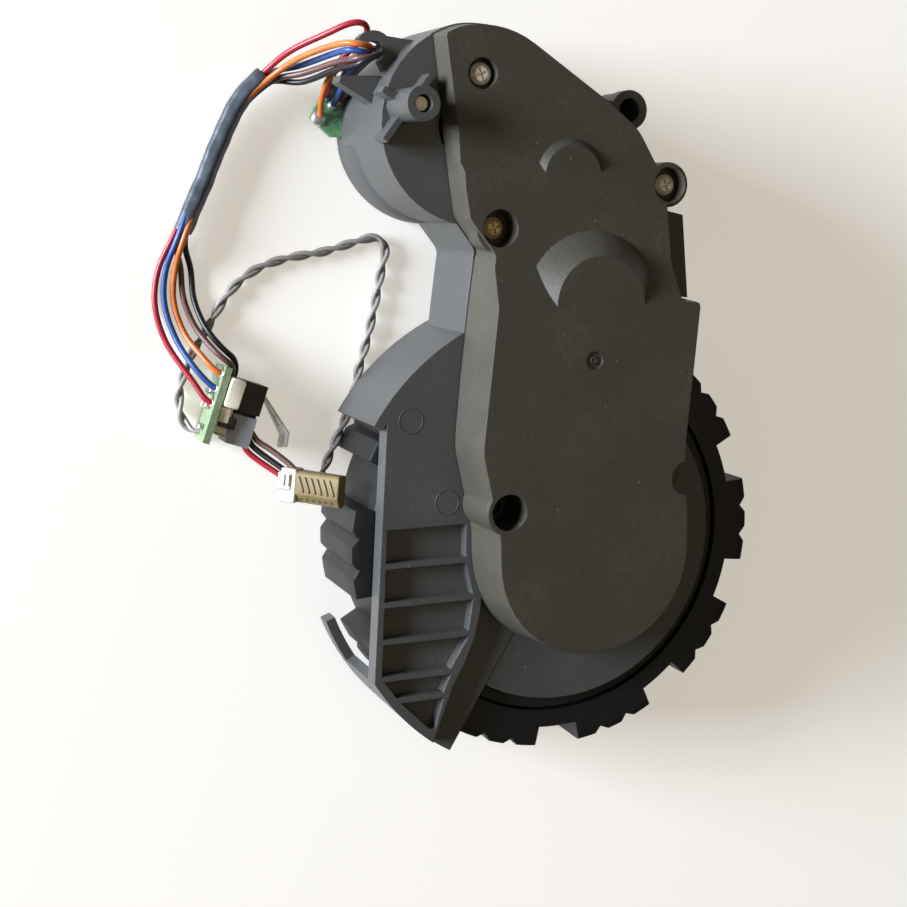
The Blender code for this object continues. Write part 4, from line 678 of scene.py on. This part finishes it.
# %% Details on the mouldings
FLANGE_TOP = 0.0225
COVER_TOP = 0.0332
EJECTOR_PLACES = ((-0.0295, 0.0230), (-0.0230, 0.0086))
GATE_PLACE = (-0.0007, 0.0331)
RING_PLACE = (0.0112, 0.0748)
CUP_CENTRE = (-0.0187, 0.0716)
CUP_RADIUS, CUP_WALL = 0.0162, 0.0014
WINDOW_ARC = (math.radians(137.5), math.radians(195.5))
WINDOW_TOP = 0.0051
BAND_ARC = (math.radians(191), math.radians(302))
BAND_TOP, BAND_RISE = 0.0088, 0.00015
EJECTOR = ((0.00200, FLANGE_TOP - 0.00010), (0.00206, FLANGE_TOP + 0.00005),
           (0.00222, FLANGE_TOP + 0.00005), (0.00228, FLANGE_TOP - 0.00010))
NUB = ((0.0, COVER_TOP - 0.0006), (0.0007, COVER_TOP - 0.0006), (0.0007, COVER_TOP - 0.0002),
       (0.0005, COVER_TOP - 0.0001), (0.0003, COVER_TOP - 0.0002), (0.0, COVER_TOP - 0.0002))
SOCKET = ((0.0, 0.0135), (0.0031, 0.0135), (0.0031, 0.0191), (0.0020, 0.0191), (0.0020, 0.0142),
          (0.0, 0.0142))
CUP_INSIDE = CUP_RADIUS - CUP_WALL
FOOT = ((CUP_RADIUS, 0.0), (CUP_RADIUS, WINDOW_TOP), (CUP_INSIDE, WINDOW_TOP), (CUP_INSIDE, 0.0))
BAND = ((CUP_RADIUS - 0.0003, 0.0002), (CUP_RADIUS + BAND_RISE, 0.0002), (CUP_RADIUS + BAND_RISE, BAND_TOP),
        (CUP_RADIUS - 0.0003, BAND_TOP + 0.0006))
MOULDED = [turned_piece("ejector_mark_%d" % number, centre, EJECTOR, HOUSING_ABS)
           for number, centre in enumerate(EJECTOR_PLACES, 1)]
MOULDED.append(turned_piece("gate_nub", GATE_PLACE, NUB, COVER_ABS, steps=28))
MOULDED.append(turned_piece("ring_socket", RING_PLACE, SOCKET, HOUSING_ABS))
MOULDED.append(turned_piece("cup_foot", CUP_CENTRE, FOOT, HOUSING_ABS, WINDOW_ARC, 40))
MOULDED.append(turned_piece("cup_band", CUP_CENTRE, BAND, HOUSING_ABS, BAND_ARC, 72))
print("added", len(MOULDED), "moulded details")
# %% [markdown]
# ## The tyre
# The tyre is soft black rubber, moulded with bold lugs right across its width, in ten groups of three.
# A shallow notch parts the lugs of a group, and a deep groove parts the groups. Each lug could be a
# block that an array repeats, but the real tyre is one moulding. So it is one turned surface whose
# radius depends on the angle: a group's profile of straight lines, repeated round the wheel, fading
# out towards the bore.

# %% Tread shape
WHEEL_RADIUS = 0.039
WHEEL_WIDTH = 0.0185
TREAD_DEPTH = 0.0035
TREAD_GROUPS = 10
TREAD_TURN = math.radians(0.4)
TYRE_INNER = WHEEL_RADIUS - TREAD_DEPTH - 0.0033
PROFILE_SHARE = (-0.500, -0.335, -0.322, -0.175, -0.122, -0.060, 0.055, 0.112, 0.170, 0.318, 0.335, 0.500)
PROFILE_DEPTH = (1.0, 1.0, 0.0, 0.0, 0.315, 0.0, 0.0, 0.315, 0.0, 0.0, 1.0, 1.0)


def tread_depth(angle):
    """Depth under the full radius: straight lines through the profile's corners, in each group."""
    share = ((angle - TREAD_TURN) / math.tau * TREAD_GROUPS + 0.5) % 1.0 - 0.5
    return np.interp(share, PROFILE_SHARE, PROFILE_DEPTH) * TREAD_DEPTH


groove = float(tread_depth(TREAD_TURN + math.pi / TREAD_GROUPS))
print("the groove between two groups is", round(groove / MM, 2), "mm deep")

# %% [markdown]
# ### The tyre's surface
# The grid runs round the wheel and across its width. Its columns of points stand at every corner of the
# tread, so that no lug's edge falls between two of them, and at even steps in between.

# %% Tyre surface
corner_angles = [TREAD_TURN + math.tau * (group + share) / TREAD_GROUPS
                 for group in range(TREAD_GROUPS) for share in PROFILE_SHARE]
fine_angles = np.linspace(0, math.tau, 480, endpoint=False)
angles = np.unique(np.round(np.concatenate([np.mod(corner_angles, math.tau), fine_angles]), 6))
depth = tread_depth(angles)[:, None]
# Across the width: (distance from the outer radius, height) with a small round at each edge
across = np.array([
    (0.0068, 0.0), (0.0050, 0.0), (0.0034, 0.0), (0.0020, 0.0), (0.0005, 0.0), (0.00014, 0.00016),
    (0.0, 0.0006), (0.0, 0.0048), (0.0, 0.0092), (0.0, 0.0136), (0.0, WHEEL_WIDTH - 0.0006),
    (0.00014, WHEEL_WIDTH - 0.00016), (0.0005, WHEEL_WIDTH), (0.0020, WHEEL_WIDTH), (0.0034, WHEEL_WIDTH),
    (0.0050, WHEEL_WIDTH), (0.0068, WHEEL_WIDTH)])
drop = across[:, 0][None, :]
radius = WHEEL_RADIUS - np.where(drop > 0.006, WHEEL_RADIUS - TYRE_INNER,
                                 depth + drop * (1 - depth / (WHEEL_RADIUS - TYRE_INNER)))
height = np.broadcast_to(across[:, 1][None, :], radius.shape)
tyre_grid = np.stack([radius * np.cos(angles)[:, None], radius * np.sin(angles)[:, None], height], axis=-1)
print("tyre grid", tyre_grid.shape, "widest", round(float(radius.max()) / MM, 2), "mm")

# %% [markdown]
# ### Rubber
# Moulded rubber is dull and nearly black, with IOR 1.5. It is written a little lighter than black, so
# that the lugs still show their sides, and the bump is a fine unevenness drawn at 0.6 mm.

# %% Rubber and the tyre
rubber, rubber_shader = finish_of("tread_rubber", "#0e0f11", 0.52, IOR=1.50)
grained(rubber, rubber_shader, ("#0a0b0c", "#141517", 0.35, 0.8), (0.004, 5.0),
        (0.0006, 4.0, 0.00006, 0.6), 0.00025)
tyre = new_piece("ribbed_tyre", grid_mesh("ribbed_tyre", tyre_grid, True, True), rubber, "wheel", 28)
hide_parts("tyre")
print("tyre has", len(tyre.data.polygons), "faces")

# %% [markdown]
# ## Small hardware
# Zinc-plated steel screws with a cross recess, one with a yellower passivation, steel pins and
# bearings, a brass pinion, nylon gears, glass-fibre boards with a green mask, and phenolic and nylon
# switch mouldings. Each of these is a finish on a copy of its solid.


# %% Metals
def metal_finish(name, colour, tint, rough, metal=1.0):
    """Metal under a blotchy film that tints it and breaks its gloss."""
    material, shader = finish_of(name, colour, rough, metal)
    grained(material, shader, (tint, colour, 0.35, 0.65), (0.0012, 5.0), (0.0004, 3.0, 0.00002, 0.5))
    return material


# The zinc, the lever and the solder are only partly metallic: as full metals they came out too dark
ZINC = metal_finish("zinc_plated_steel", "#fbf6ea", "#e4dcc8", 0.42, 0.35)
YELLOW_ZINC = metal_finish("yellow_zinc_steel", "#f0e0b8", "#ccb380", 0.42, 0.35)
# The two deep cover screws are plated like the others: their dark steel is painted shade from the deep
# wells they sit in.
DEEP_SCREW_SHADE_STEEL = metal_finish("steel_painted_shade", "#4b4a48", "#2d2c2b", 0.45)
SPRING_STEEL = metal_finish("spring_steel", "#dddcd9", "#c3c2be", 0.45, 0.6)
BRASS = metal_finish("brass", "#c9a654", "#ab883c", 0.30)
CASE_METAL = metal_finish("dull_case_metal", "#5d6067", "#474a50", 0.48)
SOLDER = metal_finish("solder", "#dcdad2", "#bdbab0", 0.38, 0.8)
print("metals ready")

# %% [markdown]
# ### Plastics and boards
# Pale nylon lets a little light in, which a small subsurface weight gives. Phenolic is dark and closed. A
# board's green mask shows the glass weave under it as a fine mottle, here drawn at nearly a
# millimetre, and its bare edge is paler and duller.


# %% Plastics and boards
def plain_moulding(name, colour, shade, rough, see_in=0.0):
    """A moulded plastic: IOR 1.5, a slow drift of colour, faint sink marks in the bump."""
    material, shader = finish_of(name, colour, rough, IOR=1.5)
    if see_in:
        shader.inputs["Subsurface Weight"].default_value = see_in
        shader.inputs["Subsurface Radius"].default_value = (0.0008, 0.0006, 0.0004)
        shader.inputs["Subsurface Scale"].default_value = 1.0
    grained(material, shader, (shade, colour, 0.3, 0.7), (0.004, 4.0), (0.0008, 3.0, 0.00003, 0.5), 0.00012)
    return material


GREY_NYLON = plain_moulding("nylon_grey", "#b9b8b1", "#a8a7a0", 0.45)
CREAM_NYLON = plain_moulding("nylon_cream", "#fbf4de", "#efe6cb", 0.42, see_in=0.15)
TAN_NYLON = plain_moulding("nylon_tan", "#87754a", "#74633b", 0.45, see_in=0.1)
WHITE_NYLON = plain_moulding("nylon_white", "#c9c5b9", "#bbb5a5", 0.40, see_in=0.1)
CASE_GREY = plain_moulding("case_grey", "#b2b7bf", "#9ea3ab", 0.42)
# A darker nylon, painted shade for the plug's dimples and the slots in its cap.
HOLLOW_SHADE_NYLON = plain_moulding("nylon_shade", "#5a4f36", "#4a412c", 0.6)
PHENOLIC = plain_moulding("phenolic_black", "#1d1d20", "#141416", 0.40)
board, board_shader = finish_of("green_mask_board", "#5f9467", 0.35, IOR=1.55)
grained(board, board_shader, ("#4f8858", "#74a577", 0.4, 0.6), (0.0009, 2.0), (0.0007, 2.0, 0.00004, 0.5))
pale_board, pale_shader = finish_of("bare_board_edge", "#879b76", 0.45, IOR=1.55)
grained(pale_board, pale_shader, ("#7a8e69", "#94a683", 0.35, 0.65), (0.0006, 3.0),
        (0.0004, 3.0, 0.00003, 0.5))
print("plastics and boards ready")

# %% [markdown]
# ### Every other solid gets its finish
# One table says which finish and which slot each solid has. It is read row by row, and each solid's
# copy is kept under the solid's own name for the steps that follow.

# %% Finishes on the solids
SOLID_SMOOTH = 35         # degrees
FINISHES = (
    (ZINC, "steel", ("cover_screw_1", "cover_screw_3", "post_pin", "hub_screw", "wheel_shaft",
                     "lower_bearing", "upper_bush", "motor_can", "motor_shaft", "gear_pin_1", "gear_pin_2",
                     "gear_pin_3", "switch_pin_1", "switch_pin_2", "switch_pin_3")),
    (YELLOW_ZINC, "steel", ("cover_screw_2",)),
    # painted shade: the two deep screws get the dark steel for their shaded wells
    (DEEP_SCREW_SHADE_STEEL, "steel", ("cover_screw_4", "cover_screw_5")),
    (SPRING_STEEL, "steel", ("switch_lever",)),
    (BRASS, "brass", ("motor_pinion", "motor_terminal_1", "motor_terminal_2")),
    (GREY_NYLON, "grey_nylon", ("hub_cap", "output_gear", "gear_1", "gear_2", "gear_3")),
    (PHENOLIC, "black_phenolic", ("motor_end_cap", "encoder_magnet", "switch_case", "switch_plunger")),
    (board, "board_green", ("encoder_board",)),
    (pale_board, "board_green", ("switch_board",)),
    (CREAM_NYLON, "cream_nylon", ("switch_base",)),
    (CASE_GREY, "grey_metal", ("switch_body",)),
)
DRESSED = {}
for material, slot_name, nodes in FINISHES:
    for node in nodes:
        DRESSED[node] = dressed(node, material, SOLID_SMOOTH)
print("dressed", len(DRESSED), "solids")

# %% [markdown]
# ## Rounded blocks
# The small parts of the plug and the switch are blocks with rounded edges. A superellipse gives the
# plan with its round corners, and four levels, the outer two a little smaller, round the top and the
# foot. Each block has its own three axes, so it can lie in the plug's or the switch's direction.


# %% Rounded block helper
def block_points(place, axes, size, radius=0.00015, taper=1.0):
    """A block with rounded edges: a superellipse in plan, |cos a| ** 0.22, lofted through four levels."""
    angle = np.linspace(0, math.tau, 32, endpoint=False)
    power = 0.22
    plan = np.stack([np.sign(np.cos(angle)) * np.abs(np.cos(angle)) ** power,
                     np.sign(np.sin(angle)) * np.abs(np.sin(angle)) ** power], axis=-1)
    half = np.array(size) / 2
    inset = np.array([radius, 0.0, 0.0, radius])
    level = np.array([-half[2], -half[2] + radius, half[2] - radius, half[2]])
    scale = np.array([1.0, 1.0, taper, taper])
    x = plan[None, :, 0] * (half[0] - inset)[:, None] * scale[:, None]
    y = plan[None, :, 1] * (half[1] - inset)[:, None] * scale[:, None]
    z = np.broadcast_to(level[:, None], x.shape)
    axes = np.array([list(axis) for axis in axes])
    return np.stack([x, y, z], axis=-1) @ axes + np.array(place)


def blocks(name, grids, material, body):
    """Several rounded blocks as the parts of one piece."""
    work = bmesh.new()
    for grid in grids:
        mesh = grid_mesh(name, grid, False, True, True)
        work.from_mesh(mesh)
        bpy.data.meshes.remove(mesh)
    joined = bpy.data.meshes.new(name)
    work.to_mesh(joined)
    work.free()
    return new_piece(name, joined, material, body, 40)


print("a block's grid is", block_points((0, 0, 0), np.eye(3), (1, 1, 1)).shape)

# %% [markdown]
# ## The plug
# A tan nylon plug with one long chamfer, slanted so that its wire end is low. Its section is a profile
# of corners, carried along it and drawn in a little at both ends. The profile is closed, so it is a
# grid like a tube's.

# %% Plug body
PLUG_BACK = Vector((-0.0474, 0.0110, 0.0080))
PLUG_FRONT = Vector((-0.0395, 0.0102, 0.0152))
PLUG_WIDTH = 0.0058
plug_along = (PLUG_FRONT - PLUG_BACK).normalized()
plug_across = Vector((0, 0, 1)).cross(plug_along).normalized()
plug_upper = plug_along.cross(plug_across)
PLUG_AXES = (plug_along, plug_across, plug_upper)
PLUG_PROFILE = (
    (0.0024, 0.0015), (-0.0009, 0.0015), (-0.0012, 0.00145), (-0.0027, 0.0002), (-0.0028, -0.0001),
    (-0.0028, -0.0013), (-0.0026, -0.0015), (0.0026, -0.0015), (0.0028, -0.0013), (0.0028, 0.0012))
PLUG_LENGTH = (PLUG_FRONT - PLUG_BACK).length


def plug_place(along, across, upper):
    """A place in the plug's own axes, from the middle of its wire end."""
    return PLUG_BACK + plug_along * along + plug_across * across + plug_upper * upper


def plug_body():
    """The profile (across, upper) lofted along the plug, drawn in by 0.15 mm at both ends."""
    stations = np.array([(0.0, 0.94), (0.00015, 1.0), (PLUG_LENGTH - 0.00015, 1.0), (PLUG_LENGTH, 0.94)])
    profile = np.array(PLUG_PROFILE)
    axes = np.array([list(plug_along), list(plug_across), list(plug_upper)])
    local = np.stack([np.broadcast_to(stations[:, :1], (4, len(profile))), stations[:, 1:] * profile[:, 0],
                      stations[:, 1:] * profile[:, 1]], axis=-1)
    return local @ axes + np.array(PLUG_BACK)


plug_mesh = grid_mesh("plug_shell", plug_body(), False, True, True)
plug_shell = new_piece("plug_shell", plug_mesh, TAN_NYLON, "module", 30)
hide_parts("plug")
print("plug is", round(PLUG_LENGTH / MM, 1), "mm long")

# %% [markdown]
# ### Latch cap, ribs and dimples
# A pale latch cap sits at the wire end, slanted ribs cross the upper face, one over each contact, and
# a small dimple sits in the chamfer beside each rib. Each set is one piece made of rounded blocks. The
# dimples and the cap's two slots are thin blocks in a darker nylon: painted shade where the hollows are.

# %% Plug details
CONTACTS = [0.0036 + 0.00115 * number for number in range(6)]     # places along the plug
CAP_BLOCKS = ((plug_place(0.0012, 0.0001, 0.0), (0.0030, PLUG_WIDTH + 0.0002, 0.0032)),
              (plug_place(0.0006, 0.0008, 0.0015), (0.0026, 0.0030, 0.0006)))
latch_cap = blocks("plug_latch_cap", [block_points(place, PLUG_AXES, size) for place, size in CAP_BLOCKS],
                   WHITE_NYLON, "module")
slanted = (plug_across * 0.93 - plug_along * 0.37).normalized()
RIB_AXES = (slanted.cross(plug_upper), slanted, plug_upper)
RIB_SIZE = (0.00058, 0.0029, 0.0005)
ribs = blocks("plug_ribs", [block_points(plug_place(place, 0.0006, 0.0015), RIB_AXES, RIB_SIZE, 0.0001)
                            for place in CONTACTS], TAN_NYLON, "module")
CHAMFER_UP = (plug_upper * 0.77 - plug_across * 0.64).normalized()
CHAMFER_AXES = (plug_along, CHAMFER_UP.cross(plug_along), CHAMFER_UP)
DIMPLE_SIZE = (0.00045, 0.0006, 0.00016)
SLOT_SIZE = (0.0003, 0.0020, 0.0001)
# The dimples and the cap's slots are thin blocks in the darker nylon: painted shade where the hollows are.
hollows = [block_points(plug_place(place, -0.0020, 0.00078), CHAMFER_AXES, DIMPLE_SIZE, 0.00004)
           for place in CONTACTS]
hollows += [block_points(plug_place(0.0012 + shift, 0.0010, 0.0018), PLUG_AXES, SLOT_SIZE, 0.00002)
            for shift in (-0.0005, 0.0004)]
dimples = blocks("plug_dimples", hollows, HOLLOW_SHADE_NYLON, "module")
print("plug details:", latch_cap.name, ribs.name, dimples.name)

# %% [markdown]
# ## The switch's added pieces
# The switch stands on a cream base with a metal tab, a dark seam runs across its case, and solder shows
# behind its board where wires end. They are rounded blocks in the switch's own directions: down along
# its body, right towards the lever, and up from the table.

# %% Switch details
SWITCH_CENTRE = Vector((-0.0534, 0.0231, 0))
SWITCH_TURN = math.radians(-19.1)
switch_along = Vector((math.sin(SWITCH_TURN), -math.cos(SWITCH_TURN), 0))
switch_across = Vector((math.cos(SWITCH_TURN), math.sin(SWITCH_TURN), 0))
UPWARDS = Vector((0, 0, 1))
SWITCH_AXES = (switch_along, switch_across, UPWARDS)


def switch_place(down, right, height):
    """A place on the switch: along its body, across it towards the lever, and above the table."""
    return SWITCH_CENTRE + switch_along * down + switch_across * right + UPWARDS * height


def switch_blocks(name, rows, material):
    """Rounded blocks on the switch: a row is its (down, right, height), its size and its edge radius."""
    return blocks(name, [block_points(switch_place(*spot), SWITCH_AXES, *form) for spot, *form in rows],
                  material, "module")


CREAM_TOP = 0.0080        # the cream block stands a little over the board's edge, as it shows
tab = switch_blocks("switch_metal_tab", [((0.0022, -0.0029, 0.0059), (0.0021, 0.0030, 0.0004), 0.00008)],
                    CASE_METAL)
cream = switch_blocks("switch_cream_block",
                      [((-0.0030, -0.0036, CREAM_TOP / 2 + 0.0002), (0.0051, 0.0026, CREAM_TOP)),
                       ((0.0010, -0.0040, CREAM_TOP / 2 - 0.0004), (0.0026, 0.0019, CREAM_TOP - 0.0010))],
                      CREAM_NYLON)
seam = switch_blocks("switch_seam", [((0.0, 0.0, 0.0028), (0.0008, 0.0040, 0.0044))], PHENOLIC)
base_step = switch_blocks("switch_base_step", [((0.0040, -0.0034, 0.0040), (0.0016, 0.0016, 0.0030))],
                          WHITE_NYLON)
JOINTS = [LOWER_ROUTES[colour][-1] for colour in ("red", "blue", "orange")] + [GREY_ROUTE[0]]
DROP_EDGE, DROP_TAPER = 0.0004, 0.8       # a solder drop is round and narrows upwards
drops = [block_points(switch_place(down, -0.0071, 0.0048), SWITCH_AXES, (0.0013, 0.0011, 0.0012),
                      DROP_EDGE, DROP_TAPER) for down in (-0.0022, 0.0004, 0.0042)]
drops += [block_points(Vector(place), SWITCH_AXES, (0.0014, 0.0008, 0.0014), DROP_EDGE, DROP_TAPER)
          for place in JOINTS]
solder = blocks("switch_solder", drops, SOLDER, "module")
print("switch details:", len((tab, cream, seam, base_step, solder)))

# %% [markdown]
# ### The lever's lean
# The lever is a strip of spring steel that leans out a little, so that its slotted side shows from
# above. Its copy is sheared: a point moves outwards by its height on the strip and by how far along it
# lies. The lean starts past the plunger, so that the pressed lever still lies on it.

# %% Lean the lever
LEVER_HINGE, LEVER_LINE = np.array([-0.04968, 0.02605]), np.array([0.452, -0.892])
LEVER_OUTWARD = np.array([0.892, 0.452])
LEAN_TOP, LEAN_FOOT = 0.0007, -0.0003     # outwards at the strip's top and at its foot
LEAN_START, LEAN_GROWTH = 0.0024, 0.0030  # beyond the plunger, and the length over which it grows
lever_mesh = DRESSED["switch_lever"].data
points = np.zeros(len(lever_mesh.vertices) * 3)
lever_mesh.vertices.foreach_get("co", points)
points = points.reshape(-1, 3)
reach = np.clip(((points[:, :2] - LEVER_HINGE) @ LEVER_LINE - LEAN_START) / LEAN_GROWTH, 0, 1)
height = (points[:, 2] - points[:, 2].min()) / np.ptp(points[:, 2])
points[:, :2] += ((LEAN_FOOT + (LEAN_TOP - LEAN_FOOT) * height) * reach)[:, None] * LEVER_OUTWARD
lever_mesh.vertices.foreach_set("co", points.ravel())
lever_mesh.update()
print("the lever leans out by", round(LEAN_TOP / MM, 1), "mm at its top")

# %% [markdown]
# ### Solder on the sensor board
# Hand-soldered joints are low domes. Each is a turned profile, a quarter of a flat ellipse over a
# short upright edge, and all four are one piece.

# %% Solder on the sensor board
BOARD_JOINTS = ((-0.0390, 0.0733, 0.0013), (-0.0380, 0.0769, 0.0008), (-0.0366, 0.0755, 0.0008),
                (-0.0353, 0.0763, 0.0008))      # x, y and radius
DOME_FOOT, DOME_EDGE, DOME_RISE = 0.0029, 0.0031, 0.0007
rise = np.linspace(0, math.pi / 2, 6)
board_domes = bmesh.new()
for x, y, width in BOARD_JOINTS:
    quarter = np.column_stack([width * np.cos(rise), DOME_EDGE + DOME_RISE * np.sin(rise)])
    dome = np.vstack([[(0.0, DOME_FOOT), (width, DOME_FOOT)], quarter])
    form = grid_mesh("dome", turned_points((x, y), dome, steps=24), True, True)
    board_domes.from_mesh(form)
    bpy.data.meshes.remove(form)
board_mesh = bpy.data.meshes.new("board_solder")
board_domes.to_mesh(board_mesh)
board_domes.free()
board_solder = new_piece("board_solder", board_mesh, SOLDER, "module", 60)
print("the sensor board has", len(BOARD_JOINTS), "joints in", board_solder.name)

# %% [markdown]
# ## The cords
# The five wires leave the sensor board and end at the switch's board, which lies on them with its
# plug. The twisted pair leaves that board and ends at the plug. The cell below only looks up each wire's
# path.

# %% Cords
for colour, piece in WIRES.items():
    path = PATHS[colour]

# %% [markdown]
# ## Table and light
# The photograph was taken on a white table by a window at the left. The floor is a large pale sheet.
# For the camera it is lifted towards white, and it keeps the object's shadow. The window is a large
# soft lamp low at the left, and a wide faint one above fills the shadows.

# %% Floor
FLOOR_SIDE = 14.0
FLOOR_LEVEL = -0.0002     # just under the wheel's face, so that the two don't share a plane
FLOOR_LIFT = 0.44         # towards white, only where the floor is seen
corner = FLOOR_SIDE / 2
corners = [(-corner, -corner, 0), (corner, -corner, 0), (corner, corner, 0), (-corner, corner, 0)]
floor_mesh = bpy.data.meshes.new("table")
floor_mesh.from_pydata(corners, [], [(0, 1, 2, 3)])
floor = bpy.data.objects.new("table", floor_mesh)
bpy.context.scene.collection.objects.link(floor)
floor.location.z = FLOOR_LEVEL
paper, paper_shader = finish_of("white_table", "#efece6", 0.75)
floor_mesh.materials.append(paper)
rays = add(paper, "ShaderNodeLightPath")
seen = add(paper, "ShaderNodeMath", {"operation": "MAXIMUM"},
           {0: rays.outputs["Is Camera Ray"], 1: rays.outputs["Is Glossy Ray"]})
seen = add(paper, "ShaderNodeMath", {"operation": "MAXIMUM"},
           {0: seen.outputs["Value"], 1: rays.outputs["Is Transmission Ray"]})
lift = add(paper, "ShaderNodeMath", {"operation": "MULTIPLY"}, {0: seen.outputs["Value"]}, {1: FLOOR_LIFT})
paper_shader.inputs["Emission Color"].default_value = linear("#fffaf0")
paper.node_tree.links.new(lift.outputs["Value"], paper_shader.inputs["Emission Strength"])
print("table", FLOOR_SIDE, "m wide")

# %% [markdown]
# ### Lamps and world
# A window is a large soft source, so it is a square area lamp low at the left. It is strong, so that the
# walls that face it stand out from the tops as they do in the photograph, and the palest of them come
# out white. The ceiling lamp and the dim, faintly warm world fill the shadows. To the camera the world
# is a pale backdrop, through Is Camera Ray.


# %% Lamps and world
def lamp(name, place, target, size, power, colour):
    """A square area lamp at place that faces target."""
    light = bpy.data.lights.new(name, "AREA")
    light.shape = "SQUARE"
    light.size = size
    light.energy = power
    light.color = linear(colour)[:3]
    item = bpy.data.objects.new(name, light)
    item.location = place
    item.rotation_euler = (Vector(target) - Vector(place)).to_track_quat("-Z", "Y").to_euler()
    bpy.context.scene.collection.objects.link(item)
    return item


lamp("window", (-1.30, 0.34, 0.29), (0, 0.02, 0.01), 0.55, 50.0, "#e6efff")
lamp("ceiling", (0.15, 0.10, 1.60), (0, 0.02, 0), 1.40, 2.3, "#ffe4be")
ROOM_STRENGTH, BACKDROP_STRENGTH = 0.11, 0.90     # as light on the object, and as seen by the camera
world = bpy.data.worlds.new("room")
bpy.context.scene.world = world
world.use_nodes = True
sky = world.node_tree.nodes["Background"]
sight = add(world, "ShaderNodeLightPath").outputs["Is Camera Ray"]
level = add(world, "ShaderNodeMapRange", links={"Value": sight},
            inputs={"To Min": ROOM_STRENGTH, "To Max": BACKDROP_STRENGTH})
tone = add(world, "ShaderNodeMix", {"data_type": "RGBA"}, {0: sight},
           {6: linear("#f5ead6"), 7: linear("#f6f6f4")})
world.node_tree.links.new(tone.outputs[2], sky.inputs["Color"])
world.node_tree.links.new(level.outputs["Result"], sky.inputs["Strength"])
bpy.context.scene.view_settings.view_transform = "Standard"
